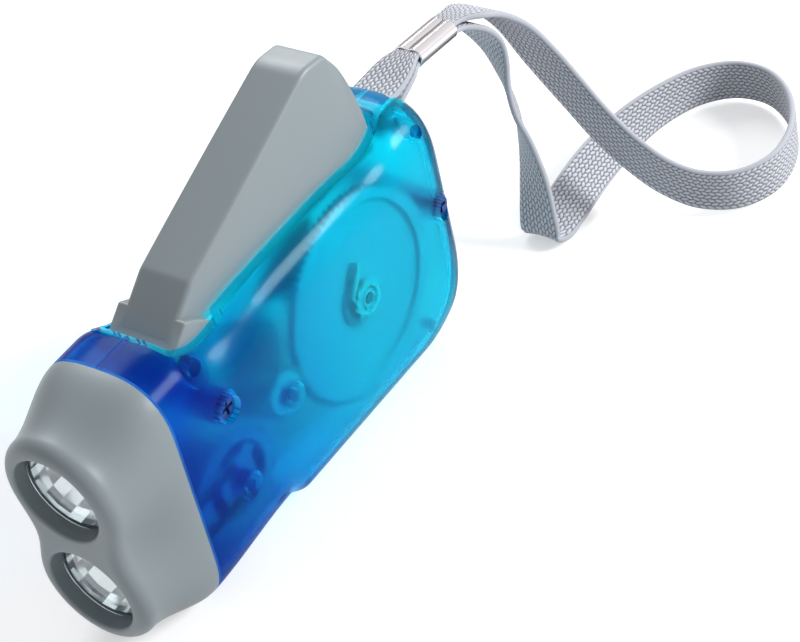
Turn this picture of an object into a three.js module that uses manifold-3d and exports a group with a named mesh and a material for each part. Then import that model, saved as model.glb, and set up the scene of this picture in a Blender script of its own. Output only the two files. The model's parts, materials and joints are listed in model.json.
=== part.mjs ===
// Squeeze-lever dynamo torch, built as it comes apart on a bench.
// Frame, in millimetres: +X towards the lamp head, +Y to the torch's left side, +Z up towards the lever.
// The origin lies under the middle of the torch, on the plane that its belly rests on.
import * as THREE from 'three';
import { mergeVertices } from 'three/addons/utils/BufferGeometryUtils.js';
import Module from 'manifold-3d';

const wasm = await Module();
wasm.setup();

// Clearances
const gap = 0.3; // between pieces that touch
const runningGap = 0.1; // between an axle and the bore that runs on it
const overrun = 3; // how far a cutting tool runs past what it cuts

// Casing
const torchLength = 100;
const headLength = 17.1;
const bodyHalfWidth = 13.2;
const headEndHeight = 51.2;
const tailRise = 1.4;
const tailEndHeight = headEndHeight + tailRise;
const wall = 1.6;
const edgeRadius = 13;
const edgePowerShare = 2.8;
const tailTopRadius = 9;
const tailBellyRadius = 18;
const tailPlanRadius = 9;
const tailFaceHalfWidth = 4;
const bellyShave = 0.25;
const gripRise = 2.3;
const headRise = 0.5;
const gripStepX = 8;
const gripStepLength = 5;
const casingInnerHalf = bodyHalfWidth - wall;
const halfLength = torchLength / 2;
const tailX = -halfLength;
const jointX = halfLength - headLength;

// Lamp head
const axisHeight = 25.5;
const lensPitch = 21.2;
const lobeRadius = 11.7;
const waistHalfWidth = 9.6;
const recessRadius = 8.55;
const recessDepth = 2.75;
const noseRadius = 2.7;
const headWall = 1.8;
const faceWall = 4.6;
const lensThickness = 1.2;
const reflectorDepth = 8.2;
const reflectorWall = 0.6;
const ledRadius = 2.5;
const ledLength = 8;
const ledRim = 0.4;
const ledRimLength = 1;
const boardThickness = 1.2;
const boardHeight = 31;
const capacitorRadius = 2.6;
const capacitorLength = 5;
const rectifierLength = 6;
const rectifierWidth = 4;
const rectifierThickness = 2.2;
const rectifierDrop = 6;

// Gear train: places of the axles and tooth numbers
const tailRoom = 7.5;
const pressureAngle = THREE.MathUtils.degToRad(20);
const addendumShare = 0.85;
const dedendumShare = 1.15;
const backlash = 0.22;
const sectorTeeth = 172;
const drivePinionTeeth = 14;
const driveWheelTeeth = 80;
const transferPinionTeeth = 18;
const transferWheelTeeth = 48;
const rotorPinionTeeth = 20;
const pivotSetback = 10.9;
const pivotDepth = 6.3;
const pivotX = jointX - pivotSetback;
const pivotHeight = headEndHeight - pivotDepth;
const driveAngle = THREE.MathUtils.degToRad(204);
const transferAngle = THREE.MathUtils.degToRad(-5.9);
const rotorAngle = THREE.MathUtils.degToRad(-25);
// The gears fill the room between the hinge and the tail, which gives their module.
const armShareOfSpan = ((sectorTeeth + drivePinionTeeth) / 2) * -Math.cos(driveAngle);
const spanShare = armShareOfSpan + driveWheelTeeth / 2 + addendumShare;
const gearModule = (pivotX - tailX - wall - tailRoom) / spanShare;
const strokeAngle = THREE.MathUtils.degToRad(20);
const sectorThickness = 3;
const sectorBand = 5.5;
const sectorMargin = THREE.MathUtils.degToRad(3.2);
const sectorHubRadius = 2.9;
const armShare = 0.45;
const wheelThickness = 1.6;
const stageThickness = 2.4;
const stageOffset = 2.6;
const wheelRim = 2.4;
const dishDepth = 0.7;
const hubRadius = 5.2;
const sleeveRadius = 1.9;
const axleRadius = 1;
const pivotPinRadius = 1.25;
const ratchetRadius = 4;
const ratchetThickness = 1.4;
const ratchetTeeth = 12;
const bossSeat = 0.8;
const wheelOffset = casingInnerHalf - bossSeat - ratchetThickness - gap - wheelThickness;
const ratchetToothDepth = 0.8;
const pawlReach = 7.5;
const pawlThickness = 0.8;
const pawlAngle = THREE.MathUtils.degToRad(30);
const ratchetLandShare = 0.9;

// Generator
const flywheelRadius = 10.6;
const flywheelWidth = 10;
const flywheelWall = 1;
const magnetThickness = 2;
const statorGap = 0.5;
const clawThickness = 0.8;
const clawCount = 4;
const bobbinWall = 0.6;
const coreRadius = 2.3;
const windingInset = 0.5;
const clawReachShare = 0.75;
const clawWidthShare = 0.16;
const contactPitch = 7.2;
const contactWidth = 1.6;
const contactThickness = 0.4;
const axleSeat = 1.6;

// Lever
const leverSideRoom = 0.9;
const leverTaper = 1.2;
const neckTaper = 0.2;
const leverBaseHalf = wheelOffset - leverSideRoom;
const leverHalfWidth = leverBaseHalf - leverTaper;
const leverWall = 1.5;
const tailLand = 13.2;
const leverReach = pivotX - tailX - tailLand;
const kneeSetback = 8.7;
const kneeRise = 3.8;
const ridgeFromTip = 5.6;
const tipFromRear = 6.2;
const ridgeRise = 19.7;
const tipRise = 19.1;
const kneeX = pivotX - kneeSetback;
const kneeHeight = headEndHeight + kneeRise;
const tipX = pivotX - leverReach + tipFromRear;
const ridgeX = tipX + ridgeFromTip;
const ridgeHeight = headEndHeight + ridgeRise;
const tipHeight = headEndHeight + tipRise;
const skirtDepth = 4.6;
const leverCornerRadius = 4;
const tipRound = 1;
const kneeInsetShare = 0.4;
const ledgeWidth = 1.85;
const footFrontReach = 2.2;
const footRearReach = 9.05;
const footHalfWidth = leverHalfWidth + ledgeWidth;
const footFrontX = pivotX + footFrontReach;
const footRearX = pivotX - footRearReach;
const crestSetback = 3.5;
const crestDrop = 0.5;
const crestX = pivotX - crestSetback;
const crestHeight = headEndHeight - crestDrop;
const ledgeBendSetback = 5.7;
const ledgeBendDrop = 1.3;
const ledgeRearDrop = 4.05;
const toeDrop = 4.2;
const footRootRise = 0.6;
const barrelRadius = 3.1;
const springWire = 0.5;
const springCurls = 4;
const springPitch = 1;
const springStartAngle = THREE.MathUtils.degToRad(190);
const springEndAngle = THREE.MathUtils.degToRad(203);
const footLeg = 2;
const bossLeg = 9;
const curlSteps = 8;
const curlSides = 5;

// Slot in the casing's top, with its raised lip
const slotGap = 0.55;
const lipWidth = 1.1;
const lipHeight = 0.45;
const slotEndRadius = 3;
const slotFrontReach = 3.1;
const slotFrontSag = 1.2;
const footSideRoom = 1.9;
const slotStepReach = 8.4;
const slotFrontX = pivotX + slotFrontReach;
const slotStepX = pivotX - slotStepReach;

// Screws, bosses and the strap's pin
const screwHeadRadius = 2.1;
const screwHeadThickness = 1.5;
const screwShankRadius = 0.9;
const screwSink = 1;
const screwTip = 2;
const crossShare = 0.22;
const crossReachShare = 0.7;
const screwBossRadius = 3.1;
const frontScrewSetback = 2.15;
const frontScrewDrop = 9.9;
const rearScrewInset = 5.6;
const frontScrewX = pivotX - frontScrewSetback;
const frontScrewHeight = pivotHeight - frontScrewDrop;
const rearScrewX = tailX + rearScrewInset;
const rearScrewHeight = 28.6;
const axleBossRadius = 2.6;
const pegRadius = 1.5;
const pegInset = 15;
const pegX = tailX + pegInset;
const pegHeight = 7.4;
const pegLength = 4;
const strapPinRadius = 1.2;
const strapPinInset = 7.7;
const strapPinDepth = 5.2;
const strapPinX = tailX + strapPinInset;
const strapPinHeight = tailEndHeight - strapPinDepth;
const strapPinBossRadius = 2.1;

// Wrist strap
const strapWidth = 9.2;
const strapThickness = 1.3;
const strapPinchShare = 0.58;
const strapExitX = tailX + 1.5;
const strapExitHeight = strapPinHeight + 1.6;
const ferruleLength = 12;
const tailShortfall = 2.2;
const ferruleWall = 0.35;
const ferruleStart = new THREE.Vector3(-57.6, 0.2, 50.2);
const ferruleEnd = new THREE.Vector3(-69.4, 0, 48.9);
// The loop's centre line by hand, with the direction of the webbing's width at each point.
const strapRoute = [
  { at: [-67.9, 0, 49.9], width: [0, 1, 0] },
  { at: [-70.9, 0, 49.6], width: [0, 1, 0] },
  { at: [-76, 0.3, 48.1], width: [0, 1, 0] },
  { at: [-81.6, 1.1, 44.6], width: [0.1, 1, 0.1] },
  { at: [-86.4, 2.9, 38.6], width: [0.1, 1, 0.3] },
  { at: [-89, 6.4, 30.4], width: [0, 1, 0.7] },
  { at: [-89.3, 12, 23.2], width: [0, 0.8, 1] },
  { at: [-88.2, 18.6, 17.4], width: [0, 0.6, 1] },
  { at: [-87.6, 25.2, 12.6], width: [0, 0.35, 1] },
  { at: [-88, 31.6, 8.6], width: [0, 0.15, 1] },
  { at: [-89.6, 37.8, 6.1], width: [0, 0, 1] },
  { at: [-93, 44, 5.3], width: [0, 0, 1] },
  { at: [-99.2, 48, 5.3], width: [0, 0, 1] },
  { at: [-106.6, 48.2, 5.3], width: [0, 0, 1] },
  { at: [-114.4, 45.4, 5.3], width: [0, 0, 1] },
  { at: [-121, 40.4, 5.3], width: [0, 0, 1] },
  { at: [-124.8, 34, 5.3], width: [0, 0, 1] },
  { at: [-124.6, 27, 5.3], width: [0, 0, 1] },
  { at: [-120.2, 21, 5.3], width: [0, -0.05, 1] },
  { at: [-113.4, 17.2, 5.2], width: [0, -0.15, 1] },
  { at: [-106, 14.8, 4.9], width: [0, -0.35, 1] },
  { at: [-98.4, 13.4, 4.3], width: [0, -0.7, 1] },
  { at: [-90.8, 13, 3.9], width: [0, -1, 1] },
  { at: [-83.4, 13.1, 3.2], width: [0, -1, 0.65] },
  { at: [-77, 13.4, 2.4], width: [0, -1, 0.35] },
  { at: [-73, 13.4, 1.5], width: [0, -1, 0.05] },
  { at: [-71, 12.6, 2.2], width: [0, -1, 0] },
  { at: [-71.4, 12.2, 5.3], width: [-0.1, -1, 0] },
  { at: [-72.9, 11.4, 9.7], width: [-0.3, -1, 0] },
  { at: [-75.4, 9.6, 14.8], width: [-0.6, -1, 0] },
  { at: [-77.7, 7.4, 19.6], width: [-0.9, -1, 0] },
  { at: [-79.3, 5.2, 24.2], width: [-1.2, -1, 0] },
  { at: [-80.6, 3.2, 29], width: [-1, -1, 0] },
  { at: [-81.4, 1.6, 34.2], width: [-0.5, -1, 0] },
  { at: [-80.2, 0.6, 39.6], width: [-0.1, -1, 0] },
  { at: [-76.4, 0, 44.8], width: [0, -1, 0] },
  { at: [-71, 0, 47.9], width: [0, -1, 0] },
  { at: [-67.9, 0, 48.3], width: [0, -1, 0] },
];
const strapSteps = 76;
const pinchLength = 7;

// Facets: how finely round and lofted shapes are cut
const arcSteps = 12;
const tailStations = 9;
const roundSides = 24;
const smallSides = 16;
const cupSides = 32;
const discSides = 120;
const rimSteps = 5;
const gripSteps = 4;
const headSteps = 5;
const noseSteps = 4;
const waistSteps = 8;
const bowlShares = [0, 0.35, 0.7, 1];

// Materials
const translucentBlue = 0x1a8fd8;
const greyPlastic = 0x8f999c;
const materialOf = {
  casing: { color: translucentBlue, roughness: 0.25, metalness: 0 },
  cover: { color: greyPlastic, roughness: 0.5, metalness: 0 },
  nylon: { color: 0xe8eaec, roughness: 0.5, metalness: 0 },
  blackNylon: { color: 0x23242a, roughness: 0.5, metalness: 0 },
  steel: { color: 0xb9bcc0, roughness: 0.3, metalness: 1 },
  chrome: { color: 0xdfe3e6, roughness: 0.1, metalness: 1 },
  magnet: { color: 0x35363a, roughness: 0.6, metalness: 0.3 },
  copper: { color: 0xb8692f, roughness: 0.35, metalness: 1 },
  board: { color: 0x1f6a3c, roughness: 0.5, metalness: 0 },
  clear: { color: 0xe6f2f5, roughness: 0.05, metalness: 0 },
  webbing: { color: 0xa4a8b0, roughness: 0.9, metalness: 0 },
};

const torch = new THREE.Group();

/** Adds a named piece to the torch. */
function addPiece(name, geometry, finish) {
  const mesh = new THREE.Mesh(geometry, new THREE.MeshStandardMaterial(materialOf[finish]));
  mesh.name = name;
  torch.add(mesh);
  return mesh;
}

/** The solid that a closed geometry bounds. */
function solidOf(geometry) {
  const bare = geometry.clone();
  bare.deleteAttribute('normal');
  bare.deleteAttribute('uv');
  const merged = mergeVertices(bare);
  return new wasm.Manifold(new wasm.Mesh({
    numProp: 3,
    vertProperties: new Float32Array(merged.attributes.position.array),
    triVerts: new Uint32Array(merged.index.array),
  }));
}

/** The geometry that bounds a solid. */
function geometryOf(solid) {
  const mesh = solid.getMesh();
  const geometry = new THREE.BufferGeometry();
  geometry.setAttribute('position', new THREE.BufferAttribute(new Float32Array(mesh.vertProperties), 3));
  geometry.setIndex(new THREE.BufferAttribute(new Uint32Array(mesh.triVerts), 1));
  geometry.computeVertexNormals();
  return geometry;
}

/** Joins rings of points, each with as many points, into a closed geometry with flat ends. */
function loft(rings) {
  const count = rings[0].length;
  const positions = rings.flat().flatMap((p) => [p.x, p.y, p.z]);
  const index = [];
  for (let ring = 0; ring + 1 < rings.length; ring += 1) {
    for (let k = 0; k < count; k += 1) {
      const a = ring * count + k;
      const b = ring * count + ((k + 1) % count);
      index.push(a, b, a + count, b, b + count, a + count);
    }
  }
  for (const [ring, turned] of [[rings[0], true], [rings.at(-1), false]]) {
    const middle = positions.length / 3;
    const centre = ring.reduce((sum, p) => sum.add(p), new THREE.Vector3()).divideScalar(count);
    positions.push(centre.x, centre.y, centre.z);
    const start = turned ? 0 : (rings.length - 1) * count;
    for (let k = 0; k < count; k += 1) {
      const a = start + k;
      const b = start + ((k + 1) % count);
      index.push(...(turned ? [b, a, middle] : [a, b, middle]));
    }
  }
  const geometry = new THREE.BufferGeometry();
  geometry.setAttribute('position', new THREE.Float32BufferAttribute(positions, 3));
  geometry.setIndex(index);
  return geometry;
}

/** Extrudes an outline drawn in X and Z along Y, from one Y to another. */
function plateAlongY(shape, fromY, toY, curveSegments = smallSides) {
  const depth = toY - fromY;
  const geometry = new THREE.ExtrudeGeometry(shape, { depth, bevelEnabled: false, curveSegments });
  geometry.rotateX(Math.PI / 2);
  geometry.translate(0, toY, 0);
  return geometry;
}

/** Extrudes an outline drawn in X and Y up Z, from one height to another. */
function prismUp(shape, fromZ, toZ, curveSegments = smallSides) {
  const depth = toZ - fromZ;
  const geometry = new THREE.ExtrudeGeometry(shape, { depth, bevelEnabled: false, curveSegments });
  geometry.translate(0, 0, fromZ);
  return geometry;
}

/** A round bar along Y. */
function barAlongY(radius, fromY, toY, x, z, sides = smallSides) {
  const geometry = new THREE.CylinderGeometry(radius, radius, toY - fromY, sides);
  geometry.translate(x, (fromY + toY) / 2, z);
  return geometry;
}

/** A round bar along X. */
function barAlongX(radius, fromX, toX, y, z, sides = roundSides) {
  const geometry = new THREE.CylinderGeometry(radius, radius, toX - fromX, sides);
  geometry.rotateZ(-Math.PI / 2);
  geometry.translate((fromX + toX) / 2, y, z);
  return geometry;
}

/** A box from its low and high corners. */
function boxBetween(low, high) {
  const size = high.map((v, axis) => v - low[axis]);
  const geometry = new THREE.BoxGeometry(...size);
  geometry.translate(...high.map((v, axis) => (v + low[axis]) / 2));
  return geometry;
}

/** A closed outline through points given as pairs. */
function outline(points) {
  return new THREE.Shape(points.map(([u, v]) => new THREE.Vector2(u, v)));
}

/** Shares from 0 to 1 in even steps. */
const sharesOf = (steps) => Array.from({ length: steps + 1 }, (_, k) => k / steps);

/** A number that eases from 0 to 1 as t does. */
function smooth(t) {
  const clamped = THREE.MathUtils.clamp(t, 0, 1);
  return clamped * clamped * (3 - 2 * clamped);
}

/** How far a round corner has dropped, as a share, at u of the way round it. */
function cornerDrop(u) {
  return 1 - Math.sqrt(Math.max(0, 1 - Math.max(0, u) ** 2));
}

/** Height of the casing's top at x, without its wall's inset. */
function topAt(x) {
  const along = (jointX - x) / (jointX - tailX);
  const drop = tailTopRadius * cornerDrop((tailX + tailTopRadius - x) / tailTopRadius);
  return THREE.MathUtils.lerp(headEndHeight, tailEndHeight, along) - drop;
}

/** Height of the casing's belly at x: flat, up the finger step, and down again to the head. */
function bellyAt(x) {
  const stepEnd = gripStepX + gripStepLength / 2;
  const step = gripRise * smooth((x - gripStepX + gripStepLength / 2) / gripStepLength);
  const back = (headRise - gripRise) * smooth((x - stepEnd) / (jointX - stepEnd));
  const corner = tailBellyRadius * cornerDrop((tailX + tailBellyRadius - x) / tailBellyRadius);
  return step + back + corner - bellyShave;
}

/** Half the casing's width at x, which rounds off in plan at the tail. */
function halfWidthAt(x) {
  const drop = cornerDrop((tailX + tailPlanRadius - x) / tailPlanRadius);
  return bodyHalfWidth - (bodyHalfWidth - tailFaceHalfWidth) * drop;
}

/** One ring of a rounded section across X. Its sides draw in to the waist between the two corner rows. */
function sectionRing(x, { half, top, bottom, radiusTop, radiusBottom, power, waist = half, sidePoints = 1 }) {
  const ring = [];
  const corner = (t, height, radius, sign) => {
    const c = Math.cos(t);
    const s = Math.abs(Math.sin(t));
    const y = half * Math.sign(c) * Math.abs(c) ** (2 / power);
    ring.push(new THREE.Vector3(x, y, height + sign * radius * s ** (2 / power)));
  };
  const side = (sign, fromZ, toZ) => {
    for (let k = 1; k < sidePoints; k += 1) {
      const share = k / sidePoints;
      const drawn = (half - waist) * 0.5 * (1 - Math.cos(2 * Math.PI * share));
      ring.push(new THREE.Vector3(x, sign * (half - drawn), THREE.MathUtils.lerp(fromZ, toZ, share)));
    }
  };
  const high = top - radiusTop;
  const low = bottom + radiusBottom;
  for (let k = 0; k <= arcSteps; k += 1) corner((Math.PI * k) / arcSteps, high, radiusTop, 1);
  side(-1, high, low);
  for (let k = 0; k <= arcSteps; k += 1) corner(Math.PI + (Math.PI * k) / arcSteps, low, radiusBottom, -1);
  side(1, low, high);
  return ring;
}

/** The casing's section at x, drawn in all round by an inset. */
function casingRing(x, inset) {
  const top = topAt(x) - inset;
  const bottom = bellyAt(x) + inset;
  const radius = Math.min(edgeRadius - inset, (top - bottom) / 2 - gap);
  const half = halfWidthAt(x) - inset;
  const corners = { radiusTop: radius, radiusBottom: radius, power: edgePowerShare };
  return sectionRing(x, { half, top, bottom, ...corners });
}

/** The casing as a full solid, drawn in all round by an inset and reaching to endX at the head. */
function casingSolid(inset, endX) {
  const stations = [];
  const tailEnd = tailX + tailBellyRadius;
  for (let k = 0; k <= tailStations; k += 1) {
    stations.push(tailEnd - tailBellyRadius * Math.sin((Math.PI / 2) * (k / tailStations)));
  }
  stations.reverse();
  const stepStart = gripStepX - gripStepLength / 2;
  for (const share of sharesOf(gripSteps)) stations.push(stepStart + gripStepLength * share);
  stations.push((stepStart + gripStepLength + jointX) / 2, jointX);
  if (endX > jointX) stations.push(endX);
  const rings = stations.map((x) => {
    const ring = casingRing(Math.min(x, jointX), inset);
    const shift = inset * THREE.MathUtils.clamp((tailEnd - x) / tailBellyRadius, 0, 1);
    ring.forEach((p) => { p.x = x + shift; });
    return ring;
  });
  return solidOf(loft(rings));
}

/** The plan of the lever's slot, drawn out by an offset. */
function slotShape(offset) {
  const foot = footHalfWidth + footSideRoom + offset;
  const narrow = leverBaseHalf + slotGap / 2 + offset;
  const middle = leverBaseHalf + slotGap + offset;
  const front = slotFrontX + offset;
  const step = slotStepX - offset;
  const rear = pivotX - leverReach - slotGap - offset;
  const radius = slotEndRadius + offset;
  const shape = new THREE.Shape();
  shape.moveTo(front - slotFrontSag, -foot);
  shape.quadraticCurveTo(front + slotFrontSag, 0, front - slotFrontSag, foot);
  shape.lineTo(step, foot);
  shape.lineTo(step, middle);
  shape.lineTo(rear + radius, narrow);
  shape.quadraticCurveTo(rear, narrow, rear, narrow - radius);
  shape.lineTo(rear, radius - narrow);
  shape.quadraticCurveTo(rear, -narrow, rear + radius, -narrow);
  shape.lineTo(step, -middle);
  shape.lineTo(step, -foot);
  return shape;
}

const pitch = (teeth) => (teeth * gearModule) / 2;
const involute = (angle) => Math.tan(angle) - angle;

/** Outline of one tooth of a gear about its centre, at the middle of the tooth's angle. */
function toothPoints(teeth, middle) {
  const pitchRadius = pitch(teeth);
  const baseRadius = pitchRadius * Math.cos(pressureAngle);
  const rootRadius = pitchRadius - dedendumShare * gearModule;
  const tipRadius = pitchRadius + addendumShare * gearModule;
  const halfAngleAt = (radius) => {
    const angle = radius > baseRadius ? Math.acos(baseRadius / radius) : 0;
    const thick = Math.PI / (2 * teeth) - backlash / (2 * pitchRadius);
    return thick + involute(pressureAngle) - involute(angle);
  };
  const at = (radius, side) => {
    const angle = middle + side * halfAngleAt(radius);
    return [radius * Math.cos(angle), radius * Math.sin(angle)];
  };
  return [at(rootRadius, -1), at(tipRadius, -1), at(tipRadius, 1), at(rootRadius, 1)];
}

/** A gear's outline about its centre, with a tooth at the given angle, as points. */
function gearPoints(teeth, toothAngle) {
  const points = [];
  for (let k = 0; k < teeth; k += 1) {
    points.push(...toothPoints(teeth, toothAngle + (2 * Math.PI * k) / teeth));
  }
  return points;
}

/** A spur gear along Y at a centre, with a tooth at the given angle. */
function gear(teeth, toothAngle, centre, fromY, toY) {
  const shape = outline(gearPoints(teeth, toothAngle).map(([u, v]) => [u + centre.x, v + centre.y]));
  return solidOf(plateAlongY(shape, fromY, toY));
}

/** A centre at a distance and an angle from another, in X and Z. */
function centreFrom(centre, distance, angle) {
  return new THREE.Vector2(centre.x + distance * Math.cos(angle), centre.y + distance * Math.sin(angle));
}

const pivot = new THREE.Vector2(pivotX, pivotHeight);
const drive = centreFrom(pivot, pitch(sectorTeeth) + pitch(drivePinionTeeth), driveAngle);
const transfer = centreFrom(drive, pitch(driveWheelTeeth) + pitch(transferPinionTeeth), transferAngle);
const rotor = centreFrom(transfer, pitch(transferWheelTeeth) + pitch(rotorPinionTeeth), rotorAngle);
const innerHalf = casingInnerHalf;
const wheelSide = wheelOffset + wheelThickness;
const stageSide = stageOffset + stageThickness;

/** The casing's outer and inner solids, with the lip round the slot. */
const casingOuter = casingSolid(0, jointX);
const casingInner = casingSolid(wall, jointX + overrun);
const belowCeiling = tailEndHeight - edgeRadius;
const skyHeight = tailEndHeight + overrun;

/** A closed casing wall with its lip, slot, belly flat and strap opening, before it is split. */
function casingWall() {
  const lipBlock = solidOf(prismUp(slotShape(lipWidth), belowCeiling, skyHeight));
  const lip = casingSolid(-lipHeight, jointX).intersect(lipBlock);
  const slot = solidOf(prismUp(slotShape(0), belowCeiling, skyHeight));
  const under = solidOf(boxBetween([-torchLength, -torchLength, -overrun], [torchLength, torchLength, 0]));
  const strapHole = solidOf(boxBetween(
    [tailX - overrun, -strapWidth / 2 - gap * 2, strapPinHeight - strapThickness],
    [strapPinX, strapWidth / 2 + gap * 2, strapPinHeight + strapThickness * 3],
  ));
  return casingOuter.add(lip).subtract(casingInner).subtract(slot).subtract(under).subtract(strapHole);
}

/** Bosses on the inner wall of one half, on the side that the sign gives, and the holes in them. */
function bossesOf(sign) {
  const span = (radius, inner, x, z, sides = smallSides) => {
    const [low, high] = [sign * inner, sign * bodyHalfWidth].sort((a, b) => a - b);
    return solidOf(barAlongY(radius, low, high, x, z, sides));
  };
  const face = (left, right) => gap + (sign > 0 ? left : right);
  const solids = [
    span(screwBossRadius, gap / 2, frontScrewX, frontScrewHeight),
    span(screwBossRadius, gap / 2, rearScrewX, rearScrewHeight),
    span(barrelRadius, footHalfWidth + gap, pivot.x, pivot.y),
    span(axleBossRadius, face(wheelSide + gap + ratchetThickness, stageSide), drive.x, drive.y),
    span(axleBossRadius, face(wheelSide, stageSide), transfer.x, transfer.y),
    span(axleBossRadius, face(flywheelInnerY + flywheelWidth, stageSide), rotor.x, rotor.y),
    span(pegRadius, innerHalf - pegLength, pegX, pegHeight),
    span(strapPinBossRadius, strapWidth / 2 + gap * 2, strapPinX, strapPinHeight),
  ];
  const blind = innerHalf - gap;
  const hole = (radius, x, z) => solidOf(barAlongY(radius, -blind, blind, x, z));
  const pinEnd = strapPinHalf + gap;
  const pinHole = solidOf(barAlongY(strapPinRadius + gap, -pinEnd, pinEnd, strapPinX, strapPinHeight));
  const holes = [
    hole(pivotPinRadius + gap, pivot.x, pivot.y),
    hole(axleRadius + gap, drive.x, drive.y),
    hole(axleRadius + gap, transfer.x, transfer.y),
    hole(axleRadius + runningGap, rotor.x, rotor.y),
    hole(screwShankRadius + gap, frontScrewX, frontScrewHeight),
    hole(screwShankRadius + gap, rearScrewX, rearScrewHeight),
    pinHole,
  ];
  return { solids, holes };
}

/** Where a screw's head sits: its low and high Y. */
function screwSeat(x) {
  const face = halfWidthAt(x) - screwSink;
  return [face - screwHeadThickness, face];
}

/** The recess that a screw's head sinks into, from outside the left half. */
function screwRecess(x, z) {
  const [seat] = screwSeat(x);
  return solidOf(barAlongY(screwHeadRadius + gap, seat - gap, bodyHalfWidth + overrun, x, z, roundSides));
}

const flywheelInnerY = gap * 2 - stageOffset;
const strapPinHalf = strapWidth / 2 + strapPinBossRadius;

/** One half of the casing: the left half where sign is 1, the right half where it is -1. */
function casingHalf(sign) {
  const far = torchLength;
  const left = [[-far, gap / 2, -far], [far, far, far]];
  const right = [[-far, -far, -far], [far, -gap / 2, far]];
  const keep = sign > 0 ? left : right;
  const { solids, holes } = bossesOf(sign);
  const slot = solidOf(prismUp(slotShape(0), belowCeiling, skyHeight));
  let half = casingWall();
  for (const boss of solids) half = half.add(boss.intersect(casingOuter).subtract(slot));
  for (const hole of holes) half = half.subtract(hole);
  if (sign > 0) {
    half = half.subtract(screwRecess(frontScrewX, frontScrewHeight));
    half = half.subtract(screwRecess(rearScrewX, rearScrewHeight));
  }
  return geometryOf(half.intersect(solidOf(boxBetween(...keep))));
}

addPiece('left_shell', casingHalf(1), 'casing');
addPiece('right_shell', casingHalf(-1), 'casing');

/** One ring of the lamp head at a share of its length, drawn in by an inset. */
function headRing(x, share, inset) {
  const ease = smooth(share);
  const mix = (atJoint, atFace) => THREE.MathUtils.lerp(atJoint, atFace, ease);
  const top = mix(headEndHeight, axisHeight + lensPitch / 2 + lobeRadius) - inset;
  const bottom = mix(headRise - bellyShave, axisHeight - lensPitch / 2 - lobeRadius) + inset;
  const radiusTop = mix(edgeRadius, lobeRadius) - inset;
  return sectionRing(x, {
    half: mix(bodyHalfWidth, lobeRadius) - inset,
    top,
    bottom,
    radiusTop,
    radiusBottom: radiusTop,
    power: mix(edgePowerShare, 2),
    waist: mix(bodyHalfWidth, waistHalfWidth) - inset,
    sidePoints: waistSteps,
  });
}

/** The lamp head's outer form, with its rounded nose. */
function headOuter() {
  const rings = [];
  const start = jointX + gap;
  const straight = halfLength - noseRadius;
  for (const share of sharesOf(headSteps)) {
    const x = THREE.MathUtils.lerp(start, straight, share);
    rings.push(headRing(x, share, 0));
  }
  for (const turn of sharesOf(noseSteps).slice(1)) {
    const angle = (Math.PI / 2) * turn;
    rings.push(headRing(straight + noseRadius * Math.sin(angle), 1, noseRadius * (1 - Math.cos(angle))));
  }
  return solidOf(loft(rings));
}

/** The lamp head's hollow, open at the casing. */
function headHollow() {
  const rings = [headRing(jointX - overrun, 0, headWall)];
  const end = halfLength - faceWall;
  for (const share of sharesOf(headSteps)) {
    const x = THREE.MathUtils.lerp(jointX, end, share);
    rings.push(headRing(x, ((x - jointX) / (halfLength - noseRadius - jointX)), headWall));
  }
  return solidOf(loft(rings));
}

const lampHeights = { upper: axisHeight + lensPitch / 2, lower: axisHeight - lensPitch / 2 };

/** The grey cover over the lamps. */
function headCover() {
  let cover = headOuter().subtract(headHollow());
  for (const z of Object.values(lampHeights)) {
    cover = cover.subtract(solidOf(barAlongX(recessRadius, jointX + overrun, halfLength + overrun, 0, z)));
  }
  return geometryOf(cover);
}

addPiece('head_cover', headCover(), 'cover');

const lensFace = halfLength - recessDepth;
const lensBack = lensFace - lensThickness;
const boardFace = jointX + gap + boardThickness;
const lampRadius = recessRadius - gap;

/** A turned piece about X at a height: its outline gives [x, radius] pairs and closes on itself. */
function turnedAlongX(points, z, sides = roundSides) {
  const closed = [...points, points[0]];
  const geometry = new THREE.LatheGeometry(closed.map(([x, r]) => new THREE.Vector2(r, x)), sides);
  geometry.rotateZ(-Math.PI / 2);
  geometry.translate(0, 0, z);
  return geometry;
}

/** Turns a geometry inside out where its triangles face inwards, and returns its solid. */
function solidEitherWay(geometry) {
  const solid = solidOf(geometry);
  if (solid.volume() > 0) return solid;
  const index = geometry.index.array;
  for (let k = 0; k < index.length; k += 3) [index[k], index[k + 1]] = [index[k + 1], index[k]];
  return solidOf(geometry);
}

/** The mirror bowl of one lamp. */
function reflector(z) {
  const front = lensBack - gap;
  const back = front - reflectorDepth;
  const throat = ledRadius + gap * 2;
  const bowl = bowlShares.map((t) => [
    THREE.MathUtils.lerp(front, back, t),
    THREE.MathUtils.lerp(throat, lampRadius, Math.sqrt(1 - t)),
  ]);
  const mouth = bowl.map(([x, r]) => [x, Math.max(throat - reflectorWall / 2, r - reflectorWall)]);
  return geometryOf(solidEitherWay(turnedAlongX([...bowl, ...mouth.reverse()], z)));
}

/** One light-emitting diode with its domed top and rim. */
function led(z) {
  const foot = boardFace + gap;
  const shoulder = foot + ledLength - ledRadius;
  const profile = [[foot, 0], [foot, ledRadius + ledRim], [foot + ledRimLength, ledRadius + ledRim]];
  profile.push([foot + ledRimLength, ledRadius]);
  for (const share of sharesOf(noseSteps)) {
    const angle = (Math.PI / 2) * share;
    profile.push([shoulder + ledRadius * Math.sin(angle), ledRadius * Math.cos(angle)]);
  }
  const geometry = new THREE.LatheGeometry(profile.map(([x, r]) => new THREE.Vector2(r, x)), smallSides);
  geometry.rotateZ(-Math.PI / 2);
  geometry.translate(0, 0, z);
  return geometryOf(solidEitherWay(geometry));
}

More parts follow.
